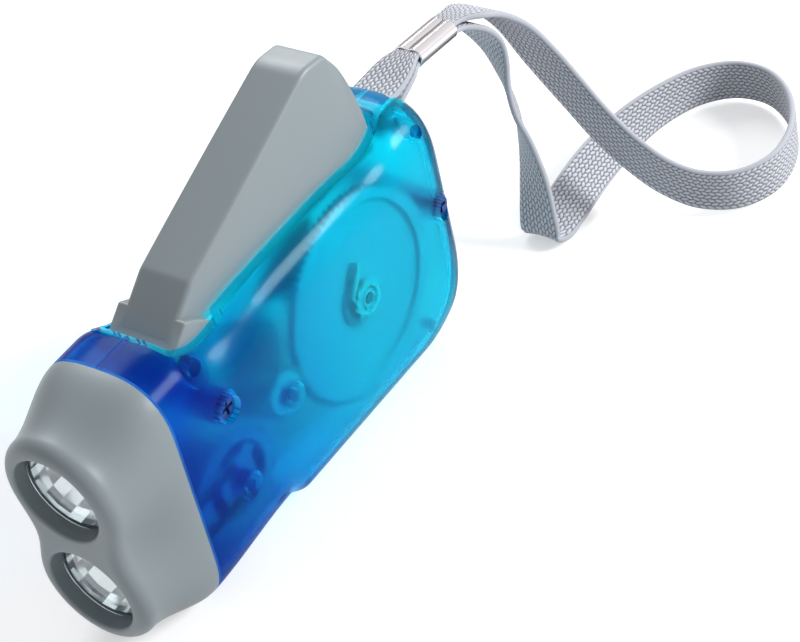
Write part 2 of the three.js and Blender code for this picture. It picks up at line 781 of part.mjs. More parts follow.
for (const [place, z] of Object.entries(lampHeights)) {
  addPiece(`${place}_lens`, barAlongX(lampRadius, lensBack, lensFace, 0, z), 'clear');
  addPiece(`${place}_reflector`, reflector(z), 'chrome');
  addPiece(`${place}_led`, led(z), 'clear');
}

/** The lamps' circuit board, with its capacitor and rectifier on the side towards the generator. */
function addCircuit() {
  const half = bodyHalfWidth - headWall - gap;
  const back = boardFace - boardThickness;
  addPiece('circuit_board', boxBetween(
    [back, -half, axisHeight - boardHeight / 2],
    [boardFace, half, axisHeight + boardHeight / 2],
  ), 'board');
  const face = back - gap;
  addPiece('capacitor', barAlongX(
    capacitorRadius,
    face - capacitorLength,
    face,
    -half + capacitorRadius + gap,
    axisHeight + boardHeight / 2 - capacitorRadius,
    smallSides,
  ), 'steel');
  addPiece('rectifier', boxBetween(
    [face - rectifierThickness, -half, axisHeight - rectifierDrop - rectifierLength],
    [face, rectifierWidth - half, axisHeight - rectifierDrop],
  ), 'blackNylon');
}
addCircuit();

/** Slope and height of the lever's ridge line. */
const ridgeSlope = (ridgeHeight - kneeHeight) / (ridgeX - kneeX);
const ridgeAt = (x) => kneeHeight + ridgeSlope * (x - kneeX);

/** The lever's side outline, drawn in by a wall. Its rear runs on, for the rounded disc to cut. */
function leverProfile(inset) {
  const skirt = headEndHeight - skirtDepth - (inset ? overrun : 0);
  const rear = pivotX - leverReach - overrun;
  return outline([
    [crestX - inset, skirt],
    [crestX - inset, crestHeight - inset],
    [kneeX - inset * kneeInsetShare, kneeHeight - inset],
    [ridgeX, ridgeHeight - inset],
    [tipX, tipHeight - inset],
    [tipX - tipRound, tipHeight - tipRound / 2 - inset],
    [tipX - tipRound * 2, tipHeight - tipRound * 2 - inset],
    [rear, tipHeight - tipRound * 2 - inset],
    [rear, skirt],
  ]);
}

/** The lever's two sides, which spread downwards as a moulding's draft does. */
function leverSides(half) {
  const low = headEndHeight - skirtDepth - overrun * 2;
  const rear = pivotX - leverReach - overrun;
  const ring = (x, spread) => {
    const side = [[spread, low], [spread, headEndHeight], [half, tipHeight], [half, tipHeight + overrun]];
    const all = [...side, ...side.map(([y, z]) => [-y, z]).reverse()];
    return all.map(([y, z]) => new THREE.Vector3(x, y, z));
  };
  return solidEitherWay(loft([ring(rear, half + leverTaper), ring(crestX + overrun, half + neckTaper)]));
}

/** A disc about the hinge, whose rounded rim makes the lever's rear edge. */
function rearDisc(reach, half, radius) {
  const shape = new THREE.Shape();
  shape.moveTo(0, -half);
  shape.lineTo(reach - radius, -half);
  shape.quadraticCurveTo(reach, -half, reach, radius - half);
  shape.lineTo(reach, half - radius);
  shape.quadraticCurveTo(reach, half, reach - radius, half);
  shape.lineTo(0, half);
  const geometry = new THREE.LatheGeometry(shape.getPoints(rimSteps), discSides);
  geometry.translate(pivot.x, 0, pivot.y);
  return solidEitherWay(geometry);
}

/** The lever's foot: the wide block under the neck, and the barrel round its hinge pin. */
function leverFoot() {
  const root = pivotHeight + footRootRise;
  const block = plateAlongY(outline([
    [footFrontX, root],
    [footFrontX, headEndHeight - toeDrop],
    [crestX, crestHeight],
    [pivotX - ledgeBendSetback, headEndHeight - ledgeBendDrop],
    [footRearX, headEndHeight - ledgeRearDrop],
    [footRearX, root],
  ]), -footHalfWidth, footHalfWidth);
  const barrel = barAlongY(barrelRadius, -footHalfWidth, footHalfWidth, pivot.x, pivot.y, roundSides);
  const web = boxBetween(
    [pivot.x - barrelRadius, -footHalfWidth, pivot.y],
    [footFrontX, footHalfWidth, root + gap],
  );
  return solidOf(block).add(solidOf(barrel)).add(solidOf(web));
}

/** The lever's form, drawn in by a wall. */
function leverForm(inset) {
  const half = leverHalfWidth - inset;
  const blade = solidOf(plateAlongY(leverProfile(inset), -bodyHalfWidth, bodyHalfWidth));
  const disc = rearDisc(leverReach - inset, half + leverTaper, leverCornerRadius - inset);
  return blade.intersect(leverSides(half)).intersect(disc);
}

/** The hollow grey lever, with the bay in its foot for the sector's hub and the spring. */
function lever() {
  const bar = (radius, from, to) => solidOf(barAlongY(radius, from, to, pivot.x, pivot.y, roundSides));
  const bay = bar(barrelRadius + gap, -sectorHalf - gap, springEnd + gap);
  const bore = bar(pivotPinRadius + runningGap, -bodyHalfWidth, bodyHalfWidth);
  const armBay = solidOf(boxBetween(
    [footRearX - overrun, -sectorHalf - gap, pivotHeight - overrun],
    [pivotX, sectorHalf + gap, pivotHeight + barrelRadius / 2 + gap],
  ));
  const solid = leverForm(0).add(leverFoot()).subtract(leverForm(leverWall));
  return geometryOf(solid.subtract(bay).subtract(armBay).subtract(bore));
}

const sectorHalf = sectorThickness / 2;
const springStart = sectorHalf + gap + springWire;
const springEnd = springStart + springCurls * springPitch + springWire / 2;

addPiece('lever', lever(), 'cover');

const toothStep = (teeth) => (2 * Math.PI) / teeth;
const fromPivot = (radius, angle) => centreFrom(pivot, radius, angle);

/** The toothed sector on the lever's hinge, with the web that the lever presses on. */
function sectorGear() {
  const rim = pitch(sectorTeeth) - dedendumShare * gearModule;
  const first = driveAngle - strokeAngle - sectorMargin;
  const step = toothStep(sectorTeeth);
  const points = [];
  let middle = driveAngle + step * (Math.floor(sectorMargin / step) - 0.5);
  for (; middle > first + step / 2; middle -= step) {
    points.push(...toothPoints(sectorTeeth, middle).reverse());
  }
  for (let k = 0; k <= arcSteps; k += 1) {
    const angle = THREE.MathUtils.lerp(first, driveAngle + sectorMargin, k / arcSteps);
    const radius = rim - sectorBand;
    points.push([radius * Math.cos(angle), radius * Math.sin(angle)]);
  }
  const band = outline(points.map(([u, v]) => [u + pivot.x, v + pivot.y]));
  const start = first + sectorMargin / 2;
  const arm = outline([
    [pivot.x, pivot.y + sectorHubRadius * armShare],
    ...[[rim - sectorBand / 2, start], [rim - sectorBand / 2, driveAngle - sectorMargin]].map(([r, a]) => {
      const p = fromPivot(r, a);
      return [p.x, p.y];
    }),
    [pivot.x, pivot.y - sectorHubRadius * armShare],
  ]);
  const roofAt = (x) => ridgeAt(x) - leverWall - gap * 2;
  const webFront = crestX - leverWall * 2;
  const webRear = fromPivot(rim - sectorBand / 2, start).x;
  const web = outline([
    [webFront, pivot.y],
    [webFront - leverWall, roofAt(webFront) - leverWall],
    [webRear, roofAt(webRear)],
    [webRear, pivot.y - sectorThickness],
  ]);
  const flat = (shape) => solidOf(plateAlongY(shape, -sectorHalf, sectorHalf));
  const hub = solidOf(barAlongY(sectorHubRadius, -sectorHalf, sectorHalf, pivot.x, pivot.y, roundSides));
  const bore = solidOf(barAlongY(pivotPinRadius + runningGap, -wheelSide, wheelSide, pivot.x, pivot.y));
  return geometryOf(flat(band).add(flat(arm)).add(flat(web)).add(hub).subtract(bore));
}

/** Cuts a bore for an axle through a solid. */
function bored(solid, centre, radius) {
  return solid.subtract(solidOf(barAlongY(radius, -bodyHalfWidth, bodyHalfWidth, centre.x, centre.y)));
}

/** A plain round boss or sleeve about a gear's centre. */
const sleeve = (radius, centre, fromY, toY) => solidOf(barAlongY(radius, fromY, toY, centre.x, centre.y));

const ratchetStart = wheelSide + gap;
const ratchetEnd = ratchetStart + ratchetThickness;
const axleEnd = innerHalf - gap * 2;

addPiece('sector_gear', sectorGear(), 'nylon');
addPiece('lever_pivot_pin', barAlongY(pivotPinRadius, -axleEnd, axleEnd, pivot.x, pivot.y), 'steel');

/** The return spring round the hinge pin: one leg on the lever's foot, the other on the screw's boss. */
function leverSpring() {
  const points = [];
  const radius = pivotPinRadius + gap + springWire;
  const turned = springEndAngle + (springCurls - 1) * 2 * Math.PI - springStartAngle + 2 * Math.PI;
  const steps = Math.round((turned / (2 * Math.PI)) * curlSteps);
  for (let k = 0; k <= steps; k += 1) {
    const angle = springStartAngle + (turned * k) / steps;
    const y = springStart + (springPitch * springCurls * k) / steps;
    points.push(new THREE.Vector3(pivot.x + radius * Math.cos(angle), y, pivot.y + radius * Math.sin(angle)));
  }
  const legAt = (p, angle, reach) => {
    const [x, z] = [p.x - Math.sin(angle) * reach, p.z + Math.cos(angle) * reach];
    return new THREE.Vector3(x, p.y, z);
  };
  printSelfGap('lever_spring', points, springWire, curlSteps);
  points.unshift(legAt(points[0], springStartAngle, -footLeg));
  points.push(legAt(points.at(-1), springEndAngle, bossLeg));
  return tube(points, springWire / 2, curlSides);
}

/** Prints the least gap between a coiled tube's turns, measured on the points of its centre line. */
function printSelfGap(name, points, thickness, perTurn) {
  let least = Infinity;
  points.forEach((p, k) => {
    points.slice(k + Math.ceil(perTurn / 2)).forEach((q) => { least = Math.min(least, p.distanceTo(q)); });
  });
  console.log(`${name}: least gap to itself ${(least - thickness).toFixed(2)} mm`);
}

/** A closed round tube through points. */
function tube(points, radius, sides) {
  let normal = new THREE.Vector3(0, 1, 0);
  const rings = points.map((p, k) => {
    const ahead = points[Math.min(k + 1, points.length - 1)];
    const behind = points[Math.max(k - 1, 0)];
    const along = ahead.clone().sub(behind).normalize();
    normal = normal.clone().addScaledVector(along, -normal.dot(along)).normalize();
    const across = along.clone().cross(normal);
    return Array.from({ length: sides }, (_, side) => {
      const turn = (2 * Math.PI * side) / sides;
      const [u, v] = [radius * Math.cos(turn), radius * Math.sin(turn)];
      return p.clone().addScaledVector(normal, u).addScaledVector(across, v);
    });
  });
  return geometryOf(solidEitherWay(loft(rings)));
}

addPiece('lever_spring', leverSpring(), 'steel');

/** The first stage: the axle, the pinion that the sector drives, its ratchet and the large wheel. */
function addDrive() {
  addPiece('drive_axle', barAlongY(axleRadius, -axleEnd, axleEnd, drive.x, drive.y), 'steel');
  const pinion = gear(drivePinionTeeth, driveAngle - Math.PI, drive, -sectorHalf, sectorHalf)
    .add(sleeve(sleeveRadius, drive, -stageSide, -sectorHalf))
    .add(sleeve(sleeveRadius, drive, sectorHalf, ratchetEnd));
  addPiece('drive_pinion', geometryOf(bored(pinion, drive, axleRadius + runningGap)), 'blackNylon');
  const wheel = gear(driveWheelTeeth, transferAngle, drive, wheelOffset, wheelSide);
  const dished = annulus(drive, pitch(driveWheelTeeth) - wheelRim, hubRadius);
  const dish = solidOf(plateAlongY(dished, wheelSide - dishDepth, wheelSide + gap));
  addPiece('drive_wheel', geometryOf(bored(wheel.subtract(dish), drive, sleeveRadius + gap)), 'nylon');
  const saw = [];
  for (let k = 0; k < ratchetTeeth; k += 1) {
    const angle = toothStep(ratchetTeeth) * k;
    for (const [radius, turn] of [[ratchetRadius - ratchetToothDepth, 0], [ratchetRadius, ratchetLandShare]]) {
      const at = centreFrom(drive, radius, angle + toothStep(ratchetTeeth) * turn);
      saw.push([at.x, at.y]);
    }
  }
  const ratchet = solidOf(plateAlongY(outline(saw), ratchetStart, ratchetEnd));
  addPiece('ratchet_wheel', geometryOf(bored(ratchet, drive, sleeveRadius + gap)), 'blackNylon');
  addPiece('ratchet_pawl', ratchetPawl(), 'steel');
}

/** A ring's outline about a centre in X and Z. */
function annulus(centre, outer, inner) {
  const shape = new THREE.Shape().absarc(centre.x, centre.y, outer, 0, 2 * Math.PI);
  shape.holes.push(new THREE.Path().absarc(centre.x, centre.y, inner, 0, 2 * Math.PI));
  return shape;
}

/** The sprung finger on the drive wheel that catches the ratchet's teeth one way round. */
function ratchetPawl() {
  const foot = centreFrom(drive, pawlReach, Math.PI / 2);
  const tip = centreFrom(drive, ratchetRadius + gap, pawlAngle);
  const along = tip.clone().sub(foot).normalize();
  const side = new THREE.Vector2(-along.y, along.x).multiplyScalar(pawlThickness / 2);
  const corners = [[foot, 1], [foot, -1], [tip, -1], [tip, 1]].map(([end, way]) => {
    const corner = end.clone().addScaledVector(side, way);
    return [corner.x, corner.y];
  });
  const finger = solidOf(plateAlongY(outline(corners), ratchetStart, ratchetEnd - gap));
  return geometryOf(finger.add(sleeve(pawlThickness, foot, ratchetStart, ratchetEnd - gap)));
}

/** The second stage: the axle and its wheel and pinion in one moulding. */
function addTransfer() {
  addPiece('transfer_axle', barAlongY(axleRadius, -axleEnd, axleEnd, transfer.x, transfer.y), 'steel');
  const pinionPhase = transferAngle + Math.PI + toothStep(transferPinionTeeth) / 2;
  const moulding = gear(transferPinionTeeth, pinionPhase, transfer, wheelOffset, wheelSide)
    .add(gear(transferWheelTeeth, rotorAngle, transfer, -stageSide, -stageOffset))
    .add(sleeve(sleeveRadius, transfer, -stageOffset, wheelOffset));
  addPiece('transfer_gear', geometryOf(bored(moulding, transfer, axleRadius + runningGap)), 'nylon');
}

/** A ring turned about a gear's centre: its outline gives [radius, y] pairs. */
function turnedAlongY(points, centre, sides = roundSides) {
  const closed = [...points, points[0]].map(([r, y]) => new THREE.Vector2(r, y));
  const geometry = new THREE.LatheGeometry(closed, sides);
  geometry.translate(centre.x, 0, centre.y);
  return solidEitherWay(geometry);
}

/** A plain ring about the rotor's axle, from one Y to another. */
function ringPiece(inner, outer, fromY, toY, sides = roundSides) {
  const section = [[inner, fromY], [outer, fromY], [outer, toY], [inner, toY]];
  return geometryOf(turnedAlongY(section, rotor, sides));
}

const cupStart = flywheelInnerY;
const cupEnd = cupStart + flywheelWidth;
const statorEnd = cupEnd;
const statorStart = cupStart + flywheelWall + gap * 2;
const magnetOuter = flywheelRadius - flywheelWall - gap;
const magnetInner = magnetOuter - magnetThickness;
const clawRadius = magnetInner - statorGap;

/** The rotor: its axle, pinion, flywheel cup and ring magnet. */
function addRotor() {
  addPiece('rotor_axle', barAlongY(axleRadius, -axleEnd, statorEnd + axleSeat, rotor.x, rotor.y), 'steel');
  const phase = rotorAngle + Math.PI + toothStep(rotorPinionTeeth) / 2;
  const pinion = gear(rotorPinionTeeth, phase, rotor, -stageSide, -stageOffset);
  addPiece('rotor_pinion', geometryOf(bored(pinion, rotor, axleRadius + gap)), 'blackNylon');
  const cup = turnedAlongY([
    [axleRadius + gap, cupStart],
    [flywheelRadius, cupStart],
    [flywheelRadius, cupEnd],
    [flywheelRadius - flywheelWall, cupEnd],
    [flywheelRadius - flywheelWall, cupStart + flywheelWall],
    [axleRadius + gap, cupStart + flywheelWall],
  ], rotor, cupSides);
  addPiece('flywheel_cup', geometryOf(cup), 'steel');
  addPiece('ring_magnet', ringPiece(magnetInner, magnetOuter, statorStart, cupEnd, cupSides), 'magnet');
}

/** One claw plate of the stator, with its claws reaching towards the other plate. */
function clawPlate(faceY, sign, turn) {
  const disc = (from, to, outer) => sleeve(outer, rotor, Math.min(from, to), Math.max(from, to));
  const reach = (statorEnd - statorStart) * clawReachShare;
  let claws = disc(faceY, faceY + sign * reach, clawRadius)
    .subtract(disc(faceY - sign, faceY + sign * (reach + gap), clawRadius - clawThickness));
  let wedges = null;
  for (let k = 0; k < clawCount; k += 1) {
    const angle = turn + toothStep(clawCount) * k;
    const half = toothStep(clawCount) * clawWidthShare;
    const corners = [[0, 0], [-1, 1], [1, 1]].map(([side, out]) => {
      const p = centreFrom(rotor, out * clawRadius * 2, angle + side * half);
      return [p.x, p.y];
    });
    const wedge = solidOf(plateAlongY(outline(corners), -bodyHalfWidth, bodyHalfWidth));
    wedges = wedges ? wedges.add(wedge) : wedge;
  }
  claws = claws.intersect(wedges);
  const plate = disc(faceY, faceY + sign * clawThickness, clawRadius - clawThickness / 2)
    .intersect(wedges.add(disc(-bodyHalfWidth, bodyHalfWidth, coreRadius * 2)));
  return geometryOf(bored(plate.add(claws), rotor, axleRadius + gap * 2));
}

/** The stationary middle of the generator: two claw plates, the core, the bobbin and the winding. */
function addStator() {
  addPiece('inner_claw_plate', clawPlate(statorStart, 1, 0), 'steel');
  addPiece('outer_claw_plate', clawPlate(statorEnd, -1, Math.PI / clawCount), 'steel');
  const from = statorStart + clawThickness + gap;
  const to = statorEnd - clawThickness - gap;
  addPiece('stator_core', ringPiece(axleRadius + gap * 2, coreRadius, from, to), 'steel');
  const inner = coreRadius + gap;
  const tubeWall = inner + bobbinWall;
  const flange = clawRadius - clawThickness - gap;
  addPiece('winding_bobbin', geometryOf(turnedAlongY([
    [inner, from], [flange, from], [flange, from + bobbinWall], [tubeWall, from + bobbinWall],
    [tubeWall, to - bobbinWall], [flange, to - bobbinWall], [flange, to], [inner, to],
  ], rotor)), 'blackNylon');
  const low = from + bobbinWall + gap;
  const high = to - bobbinWall - gap;
  addPiece('coil_winding', ringPiece(tubeWall + gap, flange - windingInset, low, high), 'copper');
  [['upper', 1], ['lower', -1]].forEach(([place, sign]) => {
    const z = rotor.y + sign * contactPitch / 2;
    addPiece(`${place}_coil_contact`, boxBetween(
      [rotor.x, cupEnd + gap, z - contactWidth / 2],
      [jointX, cupEnd + gap + contactThickness, z + contactWidth / 2],
    ), 'copper');
  });
}

addDrive();
addTransfer();
addRotor();
addStator();

/** A case screw from the left half: its cross-slotted head and its shank. */
function caseScrew(x, z) {
  const [seat, face] = screwSeat(x);
  const head = solidOf(barAlongY(screwHeadRadius, seat, face, x, z, roundSides));
  const shank = solidOf(barAlongY(screwShankRadius, screwTip - innerHalf, seat + gap, x, z));
  let screw = head.add(shank);
  for (const [dx, dz] of [[1, crossShare], [crossShare, 1]]) {
    const reach = screwHeadRadius * crossReachShare;
    screw = screw.subtract(solidOf(boxBetween(
      [x - dx * reach, face - screwHeadThickness / 2, z - dz * reach],
      [x + dx * reach, face + gap, z + dz * reach],
    )));
  }
  return geometryOf(screw);
}

addPiece('front_case_screw', caseScrew(frontScrewX, frontScrewHeight), 'steel');
addPiece('rear_case_screw', caseScrew(rearScrewX, rearScrewHeight), 'steel');
const strapPin = barAlongY(strapPinRadius, -strapPinHalf, strapPinHalf, strapPinX, strapPinHeight);
addPiece('strap_pin', strapPin, 'steel');

/** One ring of flat webbing about a point. */
function bandRing(p, along, widthDirection, width, thickness) {
  const across = widthDirection.clone().addScaledVector(along, -widthDirection.dot(along)).normalize();
  const up = along.clone().cross(across);
  const corner = thickness / 4;
  const [w, t] = [width / 2, thickness / 2];
  const points = [[w, corner - t], [w, t - corner], [w - corner, t], [corner - w, t], [-w, t - corner]];
  points.push([-w, corner - t], [corner - w, -t], [w - corner, -t]);
  return points.map(([a, b]) => p.clone().addScaledVector(across, a).addScaledVector(up, b));
}

const ferruleAlong = ferruleEnd.clone().sub(ferruleStart).normalize();
const crossway = new THREE.Vector3(0, 1, 0);
const pinchedWidth = strapWidth * strapPinchShare;
const doubled = strapThickness * 2 + gap;

/** The strap's tail: the eye round its pin and the doubled webbing up to the ferrule's middle. */
function strapTail() {
  const pin = new THREE.Vector3(strapPinX, 0, strapPinHeight);
  const eyeRadius = strapPinRadius + gap + strapThickness;
  const end = ferruleStart.clone().addScaledVector(ferruleAlong, ferruleLength - tailShortfall);
  const stops = [
    [pin.clone().add(new THREE.Vector3(-strapPinRadius, 0, 0)), strapWidth],
    [new THREE.Vector3(strapExitX, 0, strapExitHeight), strapWidth],
    [ferruleStart.clone().addScaledVector(ferruleAlong, -strapThickness), pinchedWidth],
    [ferruleStart.clone().addScaledVector(ferruleAlong, strapThickness), pinchedWidth],
    [end, pinchedWidth],
  ];
  const rings = stops.map(([p, width], k) => {
    const before = stops[Math.max(k - 1, 0)][0];
    const after = stops[Math.min(k + 1, stops.length - 1)][0];
    return bandRing(p, after.clone().sub(before).normalize(), crossway, width, doubled);
  });
  const eye = solidOf(barAlongY(eyeRadius, -strapWidth / 2, strapWidth / 2, pin.x, pin.z));
  const hole = solidOf(barAlongY(strapPinRadius + gap, -strapWidth, strapWidth, pin.x, pin.z));
  return geometryOf(solidEitherWay(loft(rings)).add(eye).subtract(hole));
}

/** The crimped ferrule: a flattened tube round the strap. */
function ferrule() {
  const ring = (p, grow) => bandRing(
    p,
    ferruleAlong,
    crossway,
    pinchedWidth + gap * 2 + grow * 2,
    doubled + gap * 2 + grow * 2,
  );
  const end = ferruleStart.clone().addScaledVector(ferruleAlong, ferruleLength);
  const outer = solidEitherWay(loft([ring(ferruleStart, ferruleWall), ring(end, ferruleWall)]));
  const past = ferruleAlong.clone().multiplyScalar(overrun);
  const [before, beyond] = [ferruleStart.clone().sub(past), end.clone().add(past)];
  const inner = solidEitherWay(loft([ring(before, 0), ring(beyond, 0)]));
  return geometryOf(outer.subtract(inner));
}

/** The free loop of webbing, from the ferrule round and back to it. */
function strapLoop() {
  const places = strapRoute.map(({ at }) => new THREE.Vector3(...at));
  const place = new THREE.CatmullRomCurve3(places, false, 'centripetal');
  const turn = new THREE.CatmullRomCurve3(strapRoute.map(({ width }) => new THREE.Vector3(...width)), false);
  const rings = [];
  const length = place.getLength();
  for (let k = 0; k <= strapSteps; k += 1) {
    const share = k / strapSteps;
    const fromEnd = Math.min(share, 1 - share) * length;
    const pinch = smooth((fromEnd - pinchLength / 2) / pinchLength);
    const width = THREE.MathUtils.lerp(pinchedWidth, strapWidth, pinch);
    const t = place.getUtoTmapping(share);
    rings.push(bandRing(place.getPoint(t), place.getTangent(t), turn.getPoint(t), width, strapThickness));
  }
  console.log(`strap_loop: ${length.toFixed(0)} mm long`);
  return geometryOf(solidEitherWay(loft(rings)));
}

addPiece('strap_tail', strapTail(), 'webbing');
addPiece('strap_ferrule', ferrule(), 'chrome');
addPiece('strap_loop', strapLoop(), 'webbing');

export default torch;
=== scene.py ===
"""Looks of the squeeze-lever dynamo torch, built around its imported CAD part.

Shapes are built in millimetres, in the part's own frame, and scaled to metres as they are shown.
"""
import json
import math
from functools import partial

import bmesh
import bpy
import numpy as np
from mathutils import Matrix, Vector


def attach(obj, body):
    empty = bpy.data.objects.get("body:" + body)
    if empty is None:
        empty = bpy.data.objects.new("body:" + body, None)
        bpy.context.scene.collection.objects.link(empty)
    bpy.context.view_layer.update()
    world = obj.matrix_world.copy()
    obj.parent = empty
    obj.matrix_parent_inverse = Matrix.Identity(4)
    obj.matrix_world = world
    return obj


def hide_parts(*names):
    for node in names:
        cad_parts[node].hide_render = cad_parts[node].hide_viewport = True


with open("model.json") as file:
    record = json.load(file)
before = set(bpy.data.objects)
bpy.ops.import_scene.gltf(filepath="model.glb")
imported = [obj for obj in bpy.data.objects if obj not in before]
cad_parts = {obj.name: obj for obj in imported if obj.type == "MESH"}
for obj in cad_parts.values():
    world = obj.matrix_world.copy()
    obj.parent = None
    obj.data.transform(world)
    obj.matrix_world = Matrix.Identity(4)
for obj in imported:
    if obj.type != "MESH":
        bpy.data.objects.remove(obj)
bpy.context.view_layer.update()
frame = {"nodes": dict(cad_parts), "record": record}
MM = 0.001

ROUGHNESS_SPREAD, LEAST_ROUGHNESS = 0.06, 0.02
GRAIN_FINENESS = 12
# How deep the moulding's grain and the braid are, in metres.
GRAIN_DEPTH, BRAID_DEPTH = 0.0001, 0.0003
# A stitch's size and half the braid's width, in millimetres; a stitch slants by a share of its length.
STITCH_WIDTH, STITCH_LENGTH, BRAID_HALF, STITCH_SLANT = 0.82, 1.3, 4.12, 0.45
# How steeply a stitch falls to its sides, and the height of plain webbing as a share of a stitch's.
STITCH_NARROWING, PLAIN_HEIGHT = 1.9, 0.35
# Where along X the tail leaves the casing, in metres.
CASING_MOUTH = -0.0464


def node_tree(owner):
    """The emptied node tree of a material or a world."""
    owner.use_nodes = True
    tree = owner.node_tree
    tree.nodes.clear()
    return tree


def add(tree, kind, **inputs):
    """A node, with its unlinked sockets set from names written with underscores for spaces."""
    node = tree.nodes.new(kind)
    for name, value in inputs.items():
        key = name.replace("_", " ")
        if key in node.inputs:
            node.inputs[key].default_value = value
        else:
            setattr(node, name, value)
    return node


def maths(tree, operation, *values):
    """The output of a Math node on numbers or on other nodes' outputs."""
    node = add(tree, "ShaderNodeMath", operation=operation)
    for slot, value in enumerate(values):
        if isinstance(value, (int, float)):
            node.inputs[slot].default_value = value
        else:
            tree.links.new(value, node.inputs[slot])
    return node.outputs["Value"]


def blend(tree, first, last, start=0.0, end=1.0):
    """A ramp from one colour to another between two positions."""
    node = add(tree, "ShaderNodeValToRGB")
    for stop, colour, position in zip(node.color_ramp.elements, (first, last), (start, end)):
        stop.color = (*colour, 1)
        stop.position = position
    return node


def new_material(name):
    """A new material, its node tree, the call that joins sockets there, and its output node."""
    material = bpy.data.materials.new(name)
    tree = node_tree(material)
    return material, tree, tree.links.new, add(tree, "ShaderNodeOutputMaterial")


def surface(name, colour, roughness, metallic=0.0, grain=0.0, grain_scale=400.0):
    """A Principled material whose roughness varies a little, as on moulded and turned parts."""
    material, tree, join, out = new_material(name)
    base = add(tree, "ShaderNodeBsdfPrincipled", Roughness=roughness, Metallic=metallic,
               Base_Color=(*colour, 1))
    place = add(tree, "ShaderNodeTexCoord")
    noise = add(tree, "ShaderNodeTexNoise", Scale=grain_scale, Detail=3.0)
    spread = add(tree, "ShaderNodeMapRange")
    spread.inputs["To Min"].default_value = max(LEAST_ROUGHNESS, roughness - ROUGHNESS_SPREAD)
    spread.inputs["To Max"].default_value = min(1.0, roughness + ROUGHNESS_SPREAD)
    join(place.outputs["Object"], noise.inputs["Vector"])
    join(noise.outputs["Fac"], spread.inputs["Value"])
    join(spread.outputs["Result"], base.inputs["Roughness"])
    if grain:
        bump = add(tree, "ShaderNodeBump", Strength=grain, Distance=GRAIN_DEPTH)
        fine = add(tree, "ShaderNodeTexNoise", Scale=grain_scale * GRAIN_FINENESS, Detail=2.0)
        join(place.outputs["Object"], fine.inputs["Vector"])
        join(fine.outputs["Fac"], bump.inputs["Height"])
        join(bump.outputs["Normal"], base.inputs["Normal"])
    join(base.outputs["BSDF"], out.inputs["Surface"])
    return material


def blue_casing():
    """Clear blue plastic whose haze, colour and roughness follow the marks on the casing's faces; the dark
    blue on its cut faces and the haze growing towards its front are painted shade.
    """
    material, tree, join, out = new_material("blue_casing")
    clear = add(tree, "ShaderNodeBsdfPrincipled", IOR=1.1, Transmission_Weight=1.0, Coat_Weight=0.1,
                Coat_Roughness=0.16)
    inside = add(tree, "ShaderNodeAttribute", attribute_name="inside")
    skin = add(tree, "ShaderNodeAttribute", attribute_name="skin")
    amount = add(tree, "ShaderNodeAttribute", attribute_name="haze")
    # The cut faces (skin 0) take the dark end: painted shade in the casing's gaps, holes and slot.
    painted_gap_shade = blend(tree, (0.01, 0.05, 0.4), (0.09, 0.05, 0.92))
    # More haze turns the clear part less green, so this tint carries the same painted shade.
    tint = blend(tree, (0.2, 0.97, 1), (0.3, 0.73, 0.94), 0.22, 0.4)
    matt = add(tree, "ShaderNodeMapRange")
    matt.inputs["To Min"].default_value = 0.2
    matt.inputs["To Max"].default_value = 0.8
    haze = add(tree, "ShaderNodeBsdfTranslucent")
    body = add(tree, "ShaderNodeMixShader")
    passing = add(tree, "ShaderNodeBsdfTransparent")
    rays = add(tree, "ShaderNodeLightPath")
    whole = add(tree, "ShaderNodeMixShader")
    depth = add(tree, "ShaderNodeVolumeAbsorption", Density=1500.0, Color=(0.0, 0.912, 0.932, 1))
    join(inside.outputs["Fac"], matt.inputs["Value"])
    join(matt.outputs["Result"], clear.inputs["Roughness"])
    join(skin.outputs["Fac"], painted_gap_shade.inputs["Fac"])
    join(painted_gap_shade.outputs["Color"], haze.inputs["Color"])
    join(amount.outputs["Fac"], body.inputs["Fac"])
    join(amount.outputs["Fac"], tint.inputs["Fac"])
    join(tint.outputs["Color"], clear.inputs["Base Color"])
    join(clear.outputs["BSDF"], body.inputs[1])
    join(haze.outputs["BSDF"], body.inputs[2])
    join(rays.outputs["Is Shadow Ray"], whole.inputs["Fac"])
    join(body.outputs["Shader"], whole.inputs[1])
    join(passing.outputs["BSDF"], whole.inputs[2])
    join(whole.outputs["Shader"], out.inputs["Surface"])
    join(depth.outputs["Volume"], out.inputs["Volume"])
    return material


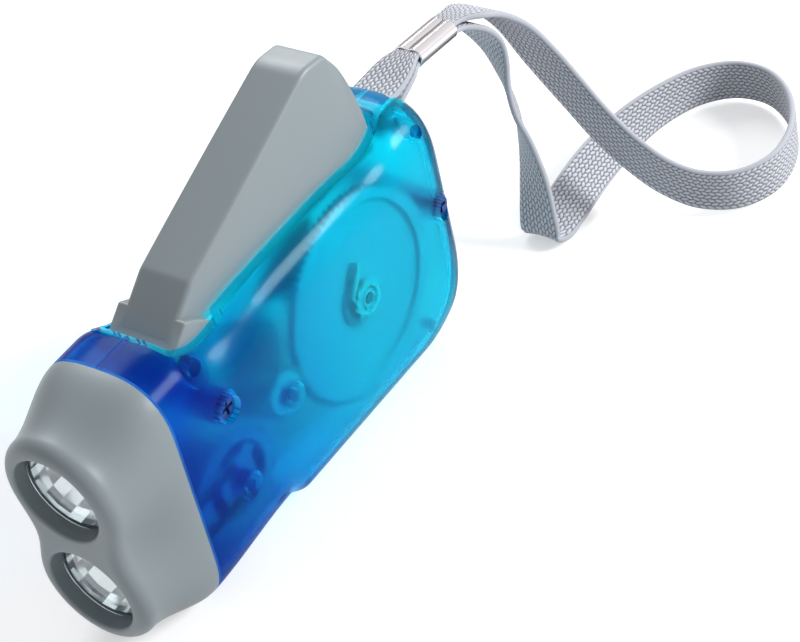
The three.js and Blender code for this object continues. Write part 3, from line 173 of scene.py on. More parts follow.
def stitches(tree):
    """How high the webbing stands: slanting stitches, but plain inside the casing and along its edges."""
    calc = partial(maths, tree)
    ribbon_uv = add(tree, "ShaderNodeUVMap", uv_map="ribbon")
    coordinates = add(tree, "ShaderNodeTexCoord")
    lay = add(tree, "ShaderNodeSeparateXYZ")
    place = add(tree, "ShaderNodeSeparateXYZ")
    tree.links.new(ribbon_uv.outputs["UV"], lay.inputs["Vector"])
    tree.links.new(coordinates.outputs["Object"], place.inputs["Vector"])
    along, across = lay.outputs["X"], lay.outputs["Y"]
    # A hundred rows are added, so that the rows on both sides of the middle have positive numbers.
    row = calc("DIVIDE", calc("ADD", across, 100 * STITCH_WIDTH), STITCH_WIDTH)
    odd = calc("MODULO", calc("FLOOR", row), 2.0)
    side = calc("SUBTRACT", calc("FRACT", row), 0.5)
    lean = calc("SUBTRACT", calc("MULTIPLY", odd, 2 * STITCH_SLANT), STITCH_SLANT)
    shift = calc("ADD", calc("MULTIPLY", odd, 0.5), calc("MULTIPLY", side, lean))
    step = calc("ADD", calc("DIVIDE", along, STITCH_LENGTH), shift)
    ahead = calc("SUBTRACT", calc("FRACT", step), 0.5)
    long_way = calc("POWER", calc("MULTIPLY", ahead, 2.0), 2.0)
    short_way = calc("POWER", calc("MULTIPLY", side, STITCH_NARROWING), 2.0)
    crown = calc("SUBTRACT", 1.0, calc("ADD", long_way, short_way))
    middle = calc("LESS_THAN", calc("ABSOLUTE", across), BRAID_HALF)
    braided = calc("MULTIPLY", calc("LESS_THAN", place.outputs["X"], CASING_MOUTH), middle)
    plain = calc("MULTIPLY", calc("SUBTRACT", 1.0, braided), PLAIN_HEIGHT)
    return calc("ADD", calc("MULTIPLY", crown, braided), plain)


def webbing():
    """Grey braid whose colour is darker between its stitches: painted shade in the grooves."""
    material, tree, join, out = new_material("webbing")
    base = add(tree, "ShaderNodeBsdfPrincipled", Roughness=0.75, Sheen_Weight=0.25)
    height = stitches(tree)
    ramp = blend(tree, (0.2, 0.21, 0.245), (0.6, 0.62, 0.68), 0.0, 0.6)
    bump = add(tree, "ShaderNodeBump", Strength=0.7, Distance=BRAID_DEPTH)
    join(height, ramp.inputs["Fac"])
    join(ramp.outputs["Color"], base.inputs["Base Color"])
    join(height, bump.inputs["Height"])
    join(bump.outputs["Normal"], base.inputs["Normal"])
    join(base.outputs["BSDF"], out.inputs["Surface"])
    return material


def bright_metal():
    """Polished metal whose colour darkens where it turns away: a painted dark reflection round its edges.
    """
    material, tree, join, out = new_material("ferrule")
    base = add(tree, "ShaderNodeBsdfPrincipled", Roughness=0.16, Metallic=1.0)
    turned = add(tree, "ShaderNodeLayerWeight", Blend=0.45)
    ramp = blend(tree, (0.93, 0.89, 0.91), (0.1, 0.09, 0.1), 0.3, 0.75)
    join(turned.outputs["Facing"], ramp.inputs["Fac"])
    join(ramp.outputs["Color"], base.inputs["Base Color"])
    join(base.outputs["BSDF"], out.inputs["Surface"])
    return material


def clear_plastic(name, tint):
    """Clear, polished plastic for the lenses and diodes."""
    material, tree, join, out = new_material(name)
    base = add(tree, "ShaderNodeBsdfPrincipled", Roughness=0.03, IOR=1.45, Transmission_Weight=1.0,
               Base_Color=(*tint, 1))
    join(base.outputs["BSDF"], out.inputs["Surface"])
    return material


LOOKS = {
    "casing": blue_casing(),
    "grey_moulding": surface("grey_moulding", (0.24, 0.28, 0.298), 0.42, grain=0.05),
    "lens": clear_plastic("lens", (0.95, 0.99, 1.0)),
    "mirror": surface("mirror", (0.93, 0.96, 0.97), 0.08, metallic=1.0, grain_scale=60),
    "board": surface("board", (0.12, 0.3, 0.32), 0.45),
    "component": surface("component", (0.5, 0.5, 0.52), 0.3, metallic=1.0),
    "black_nylon": surface("black_nylon", (0.1, 0.11, 0.14), 0.45),
    "white_nylon": surface("white_nylon", (0.55, 0.57, 0.57), 0.45),
    "wheel": surface("wheel", (0.3, 0.42, 0.5), 0.6),
    "zinc": surface("zinc", (0.5, 0.46, 0.56), 0.5, metallic=0.2),
    # The screws' near-black blue is painted shade of their deep counterbores.
    "screw_steel_painted_shade": surface("screw_steel_painted_shade", (0.01, 0.05, 0.22), 0.4, metallic=0.3),
    "steel": surface("steel", (0.45, 0.46, 0.48), 0.28, metallic=1.0),
    "copper": surface("copper", (0.6, 0.25, 0.1), 0.32, metallic=1.0),
    "ferrule": bright_metal(),
    "webbing": webbing(),
    "phosphor": surface("phosphor", (0.85, 0.75, 0.25), 0.6),
}
# The CAD nodes whose look isn't the one of their material slot.
OWN_LOOKS = {
    "drive_wheel": "wheel", "drive_pinion": "white_nylon",
    # The pawl's nylon is lighter than the wheel's: painted light that evens out the shadow it lies in.
    "ratchet_pawl": "white_nylon", "ratchet_wheel": "white_nylon",
    # Near-black blue screw heads: painted shade of their counterbores.
    "front_case_screw": "screw_steel_painted_shade", "rear_case_screw": "screw_steel_painted_shade",
    "flywheel_cup": "zinc", "ring_magnet": "zinc", "inner_claw_plate": "zinc", "outer_claw_plate": "zinc",
}


def clamp(t):
    return min(max(t, 0.0), 1.0)


def smooth(t):
    """A soft step from 0 to 1."""
    t = clamp(t)
    return t * t * (3 - 2 * t)


def lerp(a, b, t):
    return a + (b - a) * t


def unit(v):
    return v / np.linalg.norm(v)


def quarter(steps):
    """Angles over a quarter turn, both ends included."""
    return np.linspace(0, math.pi / 2, steps)


def full_turn(sides, shift=0.0):
    """Angles round a full turn, shifted by a share of one side."""
    return [2 * math.pi * (k + shift) / sides for k in range(sides)]


def put(name, data):
    """A new object in the scene."""
    obj = bpy.data.objects.new(name, data)
    bpy.context.scene.collection.objects.link(obj)
    return obj


def soften(mesh, angle):
    """Shades a mesh smooth, apart from the edges sharper than an angle in degrees."""
    mesh.polygons.foreach_set("use_smooth", [True] * len(mesh.polygons))
    mesh.set_sharp_from_angle(angle=math.radians(angle))


def bare_mesh(points, faces):
    """A mesh, still in millimetres, with points in one place joined and its faces turned outward."""
    mesh = bpy.data.meshes.new("step")
    mesh.from_pydata([tuple(float(c) for c in p) for p in points], [], faces)
    work = bmesh.new()
    work.from_mesh(mesh)
    bmesh.ops.remove_doubles(work, verts=work.verts, dist=1e-5)
    bmesh.ops.recalc_face_normals(work, faces=work.faces)
    work.to_mesh(mesh)
    work.free()
    return mesh


def span_rings(rings, closed=False):
    """The points of rings of as many points each, and the faces from each ring to the next."""
    count = len(rings[0])
    points = [p for ring in rings for p in ring]
    faces = []
    for k in range(len(rings) - (0 if closed else 1)):
        for j in range(count):
            here, beside = k * count + j, k * count + (j + 1) % count
            faces.append((here, beside, (beside + count) % len(points), (here + count) % len(points)))
    return points, faces


def loft(rings, closed=False):
    """A solid through rings, with flat ends unless it closes on itself."""
    points, faces = span_rings(rings, closed)
    if not closed:
        count, last = len(rings[0]), len(points) - 1
        faces.append(tuple(range(count)))
        faces.append(tuple(range(last, last - count, -1)))
    return bare_mesh(points, faces)


def combine(base, tools, operation):
    """One boolean step on bare meshes: DIFFERENCE, UNION or INTERSECT, with each tool in turn."""
    obj = put("step", base)
    helpers = []
    for tool in tools:
        helper = put("tool", tool)
        step = obj.modifiers.new("step", "BOOLEAN")
        step.operation = operation
        step.solver = "MANIFOLD"
        step.object = helper
        helpers.append(helper)
    bpy.context.view_layer.update()
    result = bpy.data.meshes.new_from_object(obj.evaluated_get(bpy.context.evaluated_depsgraph_get()))
    for each in (obj, *helpers):
        bpy.data.objects.remove(each)
    return result


def prism_up(outline, low, high):
    """A solid with a plan outline in X and Y, from one height to another."""
    return loft([[(x, y, z) for x, y in outline] for z in (low, high)])


def plate(outline, low, high):
    """A solid with a side outline in X and Z, from one Y to another."""
    return loft([[(x, y, z) for x, z in outline] for y in (low, high)])


def box_mesh(low, high):
    """A box between two corners."""
    (a, b, c), (d, e, f) = low, high
    return prism_up([(a, b), (d, b), (d, e), (a, e)], c, f)


def bar_y(radius, low, high, x, z, edge=0.0):
    """A round bar along Y, with an optional rounded edge at its high end."""
    steps = [(low, radius), (high - edge, radius)]
    if edge:
        for a in quarter(4)[1:]:
            steps.append((high - edge + edge * math.sin(a), radius - edge + edge * math.cos(a)))
    turn = full_turn(48)
    return loft([[(x + r * math.cos(a), y, z + r * math.sin(a)) for a in turn] for y, r in steps])


def revolve_x(profile, z, sides=96):
    """A solid turned about X at a height, from (x, radius) points that start and end on the axis."""
    turn = full_turn(sides)
    rings = [[(x, r * math.cos(a), z + r * math.sin(a)) for a in turn] for x, r in profile]
    return bare_mesh(*span_rings(rings))


def shown(name, mesh, look, angle):
    """An object in metres from a bare mesh."""
    mesh.transform(Matrix.Scale(MM, 4))
    mesh.name = name
    mesh.materials.clear()
    mesh.materials.append(LOOKS[look])
    soften(mesh, angle)
    return put(name, mesh)


def piece(name, mesh, look, angle=30.0, body="housing", replaces=()):
    """A finished object from a bare mesh, riding on its body and standing for CAD nodes."""
    obj = shown(name, mesh, look, angle)
    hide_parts(*replaces)
    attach(obj, body)
    return obj


def rounded(points, radii, steps):
    """A closed outline whose corners are rounded, each by its own radius."""
    out = []
    for k, radius in enumerate(radii):
        p, before, after = (np.array(points[j % len(points)], float) for j in (k, k - 1, k + 1))
        if not radius:
            out.append(tuple(p))
            continue
        u, v = unit(before - p), unit(after - p)
        half = math.acos(max(-1, min(1, u.dot(v)))) / 2
        reach = radius / math.tan(half)
        centre = p + unit(u + v) * radius / math.sin(half)
        a, b = p + u * reach - centre, p + v * reach - centre
        sweep = math.pi - 2 * half
        for s in range(steps + 1):
            mix = a * math.sin((1 - s / steps) * sweep) + b * math.sin(s / steps * sweep)
            out.append(tuple(centre + mix / math.sin(sweep)))
    return out


def inset_outline(points, inset):
    """A closed outline drawn in by an inset along its corners' bisectors."""
    out = []
    area = sum(a[0] * b[1] - b[0] * a[1] for a, b in zip(points, points[1:] + points[:1]))
    sign = 1 if area > 0 else -1
    for k in range(len(points)):
        p, before, after = (np.array(points[j % len(points)], float) for j in (k, k - 1, k + 1))
        u, v = unit(p - before), unit(after - p)
        m, n = sign * np.array((-u[1], u[0])), sign * np.array((-v[1], v[0]))
        out.append(tuple(p + (m + n) * inset / (1 + m.dot(n))))
    return out


def soft_plate(outline, half, radius):
    """A plate in X and Z between -half and half along Y, with its edges rounded."""
    rings = []
    for a in quarter(5):
        drawn = inset_outline(outline, radius * (1 - math.sin(a)))
        rings.append([(x, half - radius * (1 - math.cos(a)), z) for x, z in drawn])
    mirrored = [[(x, -y, z) for x, y, z in ring] for ring in reversed(rings)]
    return loft(rings + mirrored)


def catmull(points, samples, between=24):
    """A centripetal Catmull-Rom curve through points, evenly spaced by length, and its length."""
    p = [np.array(q, float) for q in points]
    p = [2 * p[0] - p[1], *p, 2 * p[-1] - p[-2]]
    dense = []
    for k in range(1, len(p) - 2):
        a, b, c, d = p[k - 1:k + 3]
        t0, t1 = 0.0, np.linalg.norm(b[:3] - a[:3]) ** 0.5
        t2 = t1 + np.linalg.norm(c[:3] - b[:3]) ** 0.5
        t3 = t2 + np.linalg.norm(d[:3] - c[:3]) ** 0.5
        for s in range(between):
            t = lerp(t1, t2, s / between)
            e = (t1 - t) / (t1 - t0) * a + (t - t0) / (t1 - t0) * b
            f = (t2 - t) / (t2 - t1) * b + (t - t1) / (t2 - t1) * c
            g = (t3 - t) / (t3 - t2) * c + (t - t2) / (t3 - t2) * d
            h = (t2 - t) / (t2 - t0) * e + (t - t0) / (t2 - t0) * f
            i = (t3 - t) / (t3 - t1) * f + (t - t1) / (t3 - t1) * g
            dense.append((t2 - t) / (t2 - t1) * h + (t - t1) / (t2 - t1) * i)
    dense = np.array([*dense, p[-2]])
    step = np.linalg.norm(np.diff(dense[:, :3], axis=0), axis=1)
    along = np.concatenate([[0], np.cumsum(step)])
    want = np.linspace(0, along[-1], samples)
    return np.array([np.interp(want, along, column) for column in dense.T]).T, along[-1]


GAP, OVERRUN, FAR = 0.3, 3.0, 100.0
HALF_LENGTH, JOINT_X, TAIL_X = 50.0, 32.9, -50.0
HALF_WIDTH, WALL = 13.2, 1.6
TOP, TAIL_TOP = 51.2, 52.6
EDGE_RADIUS, EDGE_POWER = 13.0, 2.8
TAIL_TOP_RADIUS, TAIL_BELLY_RADIUS, TAIL_PLAN_RADIUS, TAIL_FACE_HALF = 9.0, 18.0, 9.0, 4.0
BELLY_SHAVE, GRIP_RISE, HEAD_RISE, GRIP_STEP, GRIP_LENGTH = 0.25, 2.3, 0.5, 8.0, 5.0
INNER_HALF = HALF_WIDTH - WALL
PIVOT, PIN, STOP = (22.0, 44.9), (-42.3, 47.4), (-35.0, 7.4)
DRIVE, TRANSFER, ROTOR = (-20.477, 25.988), (3.892, 23.47), (19.298, 16.286)
FRONT_SCREW, REAR_SCREW = (19.85, 35.0), (-44.4, 28.6)
FOOT_HALF = 7.25
SLOT_FRONT, SLOT_SAG, SLOT_STEP, SLOT_FOOT, SLOT_MIDDLE, SLOT_NARROW = 24.8, 0.8, 12.6, 7.6, 7.15, 6.875
SLOT_REAR, SLOT_END, SLOT_CORNER, LIP_WIDTH = -37.5, 1.5, 0.6, 1.1
SLOT_LOW, SLOT_HIGH = TAIL_TOP - EDGE_RADIUS, TAIL_TOP + OVERRUN
MOUTH_HALF, MOUTH_LOW, MOUTH_HIGH = 5.2, 46.1, 51.3
SCREW_BOSS, GEAR_BOSS, STOP_BOSS, PIN_BOSS = 3.1, 2.6, 1.5, 2.1
# The inner ends of the bosses for the drive, the transfer gear and the rotor, by the sign of their half.
GEAR_BOSS_ENDS = {1: (11.1, 9.4, 8.3), -1: (5.3, 5.3, 5.3)}
STOP_LENGTH, PIN_BOSS_END = 4.0, 5.2
BLIND = INNER_HALF - GAP
# Each hole's radius, how far it reaches to each side, and its place.
HOLES = [
    (1.55, 9.9, PIVOT), (1.3, BLIND, DRIVE), (1.3, BLIND, TRANSFER), (1.1, BLIND, ROTOR),
    (1.2, BLIND, FRONT_SCREW), (1.2, BLIND, REAR_SCREW), (1.5, 7.0, PIN),
]
SCREW_RECESS, SCREW_RECESS_DEPTH = 2.4, 2.5
DENT, DENT_FLOOR = 1.3, 11.1
# The height where the dip beside the slot starts, and how much higher it is whole.
DIP_FROM, DIP_HEIGHT = 38.5, 9.0
# How far the shoulders, the lip's crest and its crest round the foot dip, as (x, depth).
SADDLE = [
    (-39, 0), (-36, 0.3), (-34.6, 0.8), (-33.2, 1.5), (-31.3, 2.1), (-29, 2.3), (-26, 2.0), (-22, 1.6),
    (-18, 1.5), (0, 1.5), (6, 1.9), (10, 2.5), (12, 2.85), (14, 3.15), (16, 3.3), (18, 3.3), (20, 3.0),
    (21, 2.6), (22, 2.1), (23, 1.5), (24, 0.9), (25, 0.4), (26, 0.1), (27, 0),
]
LIP_CREST = [
    (-39, -1.0), (-36.5, -0.9), (-35.7, -0.5), (-34.6, 0.2), (-33.2, 1.0), (-31.3, 1.6), (-29, 1.8),
    (-26, 1.5), (-22, 1.1), (-18, 0.95), (-5, 0.9), (6, 1.1), (13, 1.5),
]
FOOT_CREST = [
    (12, 2.6), (14, 2.85), (16, 3.0), (18, 3.0), (20, 2.7), (21, 2.3), (22, 1.8), (23, 1.2), (24, 0.6),
    (25, 0.1), (27, -0.3),
]


def corner_drop(u):
    """How far a round corner of radius 1 falls away at a share of the way into it."""
    return 1 - math.sqrt(max(0.0, 1 - max(0.0, u) ** 2))


def top_at(x):
    """Height of the casing's top at x, before it dips beside the slot."""
    along = (JOINT_X - x) / (JOINT_X - TAIL_X)
    drop = TAIL_TOP_RADIUS * corner_drop((TAIL_X + TAIL_TOP_RADIUS - x) / TAIL_TOP_RADIUS)
    return lerp(TOP, TAIL_TOP, along) - drop


def belly_at(x):
    """Height of the underside at x: round at the tail, then flat, then a step that sinks to the head."""
    end = GRIP_STEP + GRIP_LENGTH / 2
    step = GRIP_RISE * smooth((x - GRIP_STEP + GRIP_LENGTH / 2) / GRIP_LENGTH)
    back = (HEAD_RISE - GRIP_RISE) * smooth((x - end) / (JOINT_X - end))
    corner = TAIL_BELLY_RADIUS * corner_drop((TAIL_X + TAIL_BELLY_RADIUS - x) / TAIL_BELLY_RADIUS)
    return step + back + corner - BELLY_SHAVE


def half_width_at(x):
    """Half the casing's width at x."""
    drop = corner_drop((TAIL_X + TAIL_PLAN_RADIUS - x) / TAIL_PLAN_RADIUS)
    return HALF_WIDTH - (HALF_WIDTH - TAIL_FACE_HALF) * drop


def section(x, half, top, bottom, radius, power, waist=None, steps=28, side_points=1):
    """A rounded section across X, whose sides may draw in to a waist."""
    waist = half if waist is None else waist
    ring = []

    def corner(start, height, sign):
        for k in range(steps + 1):
            t = start + math.pi * k / steps
            c, s = math.cos(t), abs(math.sin(t))
            across = half * math.copysign(abs(c) ** (2 / power), c)
            ring.append((x, across, height + sign * radius * s ** (2 / power)))

    def side(sign, low, high):
        for k in range(1, side_points):
            drawn = (half - waist) * 0.5 * (1 - math.cos(2 * math.pi * k / side_points))
            ring.append((x, sign * (half - drawn), lerp(low, high, k / side_points)))

    high, low = top - radius, bottom + radius
    corner(0.0, high, 1)
    side(-1, high, low)
    corner(math.pi, low, -1)
    side(1, low, high)
    return ring


def dip(x, z, table):
    """How far a point of the casing sinks beside the slot: fully at the shoulders, not at the sides."""
    places, depths = zip(*table)
    return float(np.interp(x, places, depths)) * smooth((z - DIP_FROM) / DIP_HEIGHT)


def casing_stations():
    """Where the casing's sections lie: closest round the tail and the grip's step."""
    tail_end = TAIL_X + TAIL_BELLY_RADIUS
    grip = (GRIP_STEP - GRIP_LENGTH / 2, GRIP_STEP + GRIP_LENGTH / 2)
    stations = [tail_end - TAIL_BELLY_RADIUS * math.sin(math.pi / 2 * k / 40) for k in range(41)][::-1]
    for start, end, count in ((tail_end, grip[0], 14), (*grip, 11), (grip[1], JOINT_X, 28)):
        stations += list(np.linspace(start, end, count)[1:])
    return stations


def casing_solid(inset, overrun=0.0, table=SADDLE):
    """The casing as a full solid, drawn in all round, with its shoulders dipped beside the slot."""
    rings = []
    for x in casing_stations() + ([JOINT_X + overrun] if overrun else []):
        at = min(x, JOINT_X)
        top, bottom = top_at(at) - inset, belly_at(at) + inset
        radius = min(EDGE_RADIUS - inset, (top - bottom) / 2 - GAP)
        shift = inset * clamp((TAIL_X + TAIL_BELLY_RADIUS - x) / TAIL_BELLY_RADIUS)
        ring = section(at, half_width_at(at) - inset, top, bottom, radius, EDGE_POWER, steps=48)
        rings.append([(x + shift, y, z - dip(at, z, table)) for _, y, z in ring])
    return loft(rings)


def beneath(x, y, z, depth):
    """Whether a place in the casing lies deeper than this under its outer surface."""
    at, level = min(x, JOINT_X), z
    # The dip depends on the height before it, which four steps find closely enough.
    for _ in range(4):
        level = z + dip(at, level, SADDLE)
    top, bottom = top_at(at) - depth, belly_at(at) + depth
    radius = min(EDGE_RADIUS - depth, (top - bottom) / 2 - GAP)
    over = max(0.0, level - (top - radius), bottom + radius - level) / radius
    across = abs(y) / max(half_width_at(at) - depth, 0.1)
    return across ** EDGE_POWER + over ** EDGE_POWER < 1 and x > TAIL_X + depth


def slot_outline(offset):
    """The plan of the lever's slot, drawn out by an offset."""
    foot, middle, narrow = SLOT_FOOT + offset, SLOT_MIDDLE + offset, SLOT_NARROW + offset
    front, step = SLOT_FRONT + offset, SLOT_STEP - offset
    rear, radius = SLOT_REAR - offset, SLOT_END + offset
    across = np.linspace(0.04, 0.96, 25)
    bow = [(front - SLOT_SAG * (1 - 4 * t * (1 - t)), lerp(-foot, foot, t)) for t in across]
    corner_x = front - SLOT_SAG - SLOT_CORNER
    end = [(rear + radius * (1 - math.sin(a)), narrow - radius * (1 - math.cos(a))) for a in quarter(9)]
    far_end = [(x, -y) for x, y in reversed(end)]
    near_side, far_side = [(step, foot), (step, middle)], [(step, -middle), (step, -foot)]
    return [(corner_x, -foot), *bow, (corner_x, foot), *near_side, *end, *far_end, *far_side]


def casing_wall(outer, slot):
    """The casing's hollow wall from side to side, with the slot, its lip and the strap's mouth."""
    around = prism_up(slot_outline(LIP_WIDTH), SLOT_LOW, SLOT_HIGH)
    rear = box_mesh((-FAR, -FAR, -FAR), (SLOT_STEP, FAR, FAR))
    front = box_mesh((SLOT_STEP, -FAR, -FAR), (FAR, FAR, FAR))
    lips = [combine(casing_solid(0, table=LIP_CREST), [around, rear], "INTERSECT"),
            combine(casing_solid(0, table=FOOT_CREST), [around, front], "INTERSECT")]
    wall = combine(outer, lips, "UNION")
    mouth = box_mesh((TAIL_X - OVERRUN, -MOUTH_HALF, MOUTH_LOW), (PIN[0], MOUTH_HALF, MOUTH_HIGH))
    under = box_mesh((-FAR, -FAR, -OVERRUN), (FAR, FAR, 0))
    return combine(wall, [casing_solid(WALL, OVERRUN), slot, under, mouth], "DIFFERENCE")


def bosses(sign):
    """The round bosses of one half, each from its inner end out to the casing's side."""
    places = [(SCREW_BOSS, GAP / 2, FRONT_SCREW), (SCREW_BOSS, GAP / 2, REAR_SCREW)]
    places.append((SCREW_BOSS, FOOT_HALF + GAP, PIVOT))
    places += [(GEAR_BOSS, end, axle) for end, axle in zip(GEAR_BOSS_ENDS[sign], (DRIVE, TRANSFER, ROTOR))]
    places += [(STOP_BOSS, INNER_HALF - STOP_LENGTH, STOP), (PIN_BOSS, PIN_BOSS_END, PIN)]
    made = []
    for radius, end, place in places:
        low, high = sorted((sign * end, sign * HALF_WIDTH))
        made.append(bar_y(radius, low, high, *place))
    return made


def casing_half(sign, name, wall, outer, slot):
    """One half of the casing, with its bosses and holes; the screws' recesses are in the left one."""
    kept = [combine(combine(boss, [outer], "INTERSECT"), [slot], "DIFFERENCE") for boss in bosses(sign)]
    half = combine(wall, kept, "UNION")
    holes = [bar_y(radius, -reach, reach, *place) for radius, reach, place in HOLES]
    half = combine(half, holes, "DIFFERENCE")
    if sign > 0:
        half = combine(half, [bar_y(DENT, DENT_FLOOR, HALF_WIDTH + OVERRUN, *PIN)], "DIFFERENCE")
        for place in (FRONT_SCREW, REAR_SCREW):
            seat = half_width_at(place[0]) - SCREW_RECESS_DEPTH
            recess = bar_y(SCREW_RECESS, seat - GAP, HALF_WIDTH + OVERRUN, *place)
            half = combine(half, [recess], "DIFFERENCE")
    low, high = sorted((sign * GAP / 2, sign * FAR))
    half = combine(half, [box_mesh((-FAR, low, -FAR), (FAR, high, FAR))], "INTERSECT")
    obj = piece(f"{name}_casing_half", half, "casing", angle=16, replaces=(f"{name}_shell",))
    mark_faces(obj.data)


def casing():
    """Both halves of the casing."""
    outer = casing_solid(0)
    slot = prism_up(slot_outline(0), SLOT_LOW, SLOT_HIGH)
    wall = casing_wall(outer, slot)
    casing_half(1, "left", wall, outer, slot)
    casing_half(-1, "right", wall, outer, slot)


# Depths under the outer surface that tell the casing's faces apart, and how far the lip stands proud.
MATT_DEPTH, SKIN_DEPTH, LINING_DEPTH, PROUD = 0.6, 0.25, 1.35, 0.12
# The room round the slot whose upright faces count as the slot's.
WELL_HALF, WELL_FLOOR, WELL_FRONT, UPRIGHT = 8.9, 45.0, 26.0, 0.3
JOINT_FACE_FROM, JOINT_FACE_TURN = 30.0, 0.99
# Haze by kind of face: on the slot's and the other cut faces it is painted shade in the gaps; on the skin
# it grows from rear to front, painted shade of the darker inside there.
SLOT_PAINTED_SHADE, CUT_PAINTED_SHADE, LIP_HAZE, REAR_HAZE, FRONT_HAZE_AND_SHADE = 0.14, 0.6, 0.08, 0.05, 0.4
SHADE_HAZE_FROM, SHADE_HAZE_LENGTH = -14.0, 44.0


def face_kind(place, normal):
    """What a face of the casing is: upright beside the slot, another cut, on the lip or its skin."""
    x, y, z = place
    if abs(normal.z) < UPRIGHT and abs(y) < WELL_HALF and z > WELL_FLOOR and x < WELL_FRONT:
        return "slot"
    if beneath(x, y, z, SKIN_DEPTH) and not beneath(x, y, z, LINING_DEPTH):
        return "cut"
    if x > JOINT_FACE_FROM and normal.x > JOINT_FACE_TURN:
        return "cut"
    return "skin" if beneath(x, y, z, -PROUD) else "lip"


def mark_faces(mesh):
    """Marks the casing's matt inner faces and its uncut ones, and how hazy each corner of a face is: the
    haze paints shade onto the cut faces and, more and more, towards the front.
    """
    inside = mesh.attributes.new("inside", "FLOAT", "FACE")
    skin = mesh.attributes.new("skin", "FLOAT", "FACE")
    haze = mesh.attributes.new("haze", "FLOAT", "CORNER")
    fixed = {"slot": SLOT_PAINTED_SHADE, "cut": CUT_PAINTED_SHADE, "lip": LIP_HAZE}
    for face in mesh.polygons:
        place = [c / MM for c in face.center]
        kind = face_kind(place, face.normal)
        inside.data[face.index].value = float(beneath(*place, MATT_DEPTH))
        skin.data[face.index].value = float(kind in ("lip", "skin"))
        for corner in face.loop_indices:
            x = mesh.vertices[mesh.loops[corner].vertex_index].co.x / MM
            # The haze grows towards the front: painted shade standing in for the darker inside seen through
            # there.
            painted_shade_haze = lerp(REAR_HAZE, FRONT_HAZE_AND_SHADE, clamp((x - SHADE_HAZE_FROM) / SHADE_HAZE_LENGTH))
            haze.data[corner].value = fixed.get(kind, painted_shade_haze)


LEVER_TOP, LEVER_TAPER, NECK_TAPER, LEVER_WALL, LEVER_REACH = 5.4, 1.2, 0.2, 1.5, 58.8
LEVER_EDGE, HOLLOW_EDGE, REAR_EDGE, LEAST_EDGE, KINK_GAP = 1.1, 0.4, 1.3, 0.3, 0.05
SKIRT, HOLLOW_DEPTH, LEVER_REAR, LEVER_FRONT = 46.6, 10.0, -39.0, 21.4
# Where the lever's taper starts and how long it is, along X.
TAPER_FROM, TAPER_LENGTH = -39.8, 61.3
# In front of this the hollow follows the slope of the lever's front, a share of the wall further on.
SLOPE_FROM, SLOPE_SHARE = 10.0, 0.4
CREST, KNEE, RIDGE, TIP, TIP_REAR = (18.5, 51.02), (13.3, 55.0), (-25.0, 70.9), (-30.6, 70.3), (-34.4, 64.3)
TOE, TOE_LIFT, LEDGE, LEDGE_REAR, ROOT = (25.6, 45.59), 0.02, (16.3, 49.9), (12.95, 47.15), 44.9
# The bends of the lever's upper line and the corners of its foot, as radii.
LEVER_BENDS, FOOT_BENDS = [0, 4.0, 7.0, 1.6, 0], [0, 0.3, 0.6, 1.5, 0.5, 0]
# Between these places the lever's sections lie close, at its rounded rear and along its front.
REAR_FROM, REAR_TO, FRONT_FROM = -36.0, -22.0, 8.0
FOOT_EDGE, FRONT_WALL, WEB_BACK = 0.45, 0.45, 0.5
BARREL, BORE, PIN_RADIUS, PIN_HALF, PIN_EDGE = 3.1, 1.35, 1.25, 9.6, 0.2
BAY_LOW, BAY_HIGH, BAY_REAR, BAY_FRONT, BAY_FLOOR = -1.8, 6.6, 10.0, 28.0, 30.0
ARM_REAR, ARM_HALF, ARM_LOW, ARM_HIGH = 9.95, 1.8, 41.9, 46.75


def lever_top(x, drop):
    """Height of the lever's upper line at x."""
    line = [(TOE[0], TOE[1] + TOE_LIFT), KNEE, RIDGE, TIP, TIP_REAR]
    path = sorted(rounded(line, LEVER_BENDS, 10))
    return float(np.interp(x, [q[0] for q in path], [q[1] for q in path])) - drop


def lever_ring(x, inset, edge, low):
    """The lever's section across X, widest below, with rounded upper corners."""
    top = lever_top(x + (SLOPE_SHARE * inset if x > SLOPE_FROM else 0), inset)
    spread = lerp(LEVER_TAPER, NECK_TAPER, (x - TAPER_FROM) / TAPER_LENGTH)

    def half(z):
        return LEVER_TOP - inset + spread * (1 - clamp((z - TOP) / (TIP[1] - TOP)))

    kink = min(TOP, top - edge - KINK_GAP)
    side = [(half(low), low), (half(kink), kink)]
    for a in quarter(7):
        z = top - edge + edge * math.sin(a)
        side.append((half(z) - edge + edge * math.cos(a), z))
    return [(x, y, z) for y, z in side] + [(x, -y, z) for y, z in reversed(side)]


def lever_disc(inset):
    """A thick disc about the hinge, whose soft rim rounds the lever's rear."""
    reach, half = LEVER_REACH - inset, LEVER_TOP - inset + LEVER_TAPER
    edge = max(LEAST_EDGE, REAR_EDGE - inset)
    rim = [(reach - edge + edge * math.cos(a), half - edge + edge * math.sin(a)) for a in quarter(9)]
    profile = [(0.0, half), *rim[::-1], *[(r, -y) for r, y in rim], (0.0, -half)]
    (x, z), turn = PIVOT, full_turn(360)
    rings = [[(x + r * math.cos(a), y, z + r * math.sin(a)) for a in turn] for r, y in profile]
    return bare_mesh(*span_rings(rings))


def lever_form(inset, edge):
    """The lever's body, drawn in by a wall: a loft along its length, cut round its rear by the disc."""
    low = SKIRT - (HOLLOW_DEPTH if inset else 0)
    rear, middle = np.linspace(REAR_FROM, REAR_TO, 57), np.linspace(REAR_TO, FRONT_FROM, 16)
    front = np.linspace(FRONT_FROM, LEVER_FRONT - 2 * inset, 55)
    rings = [lever_ring(x, inset, edge, low) for x in sorted({LEVER_REAR, *rear, *middle, *front})]
    return combine(loft(rings), [lever_disc(inset)], "INTERSECT")


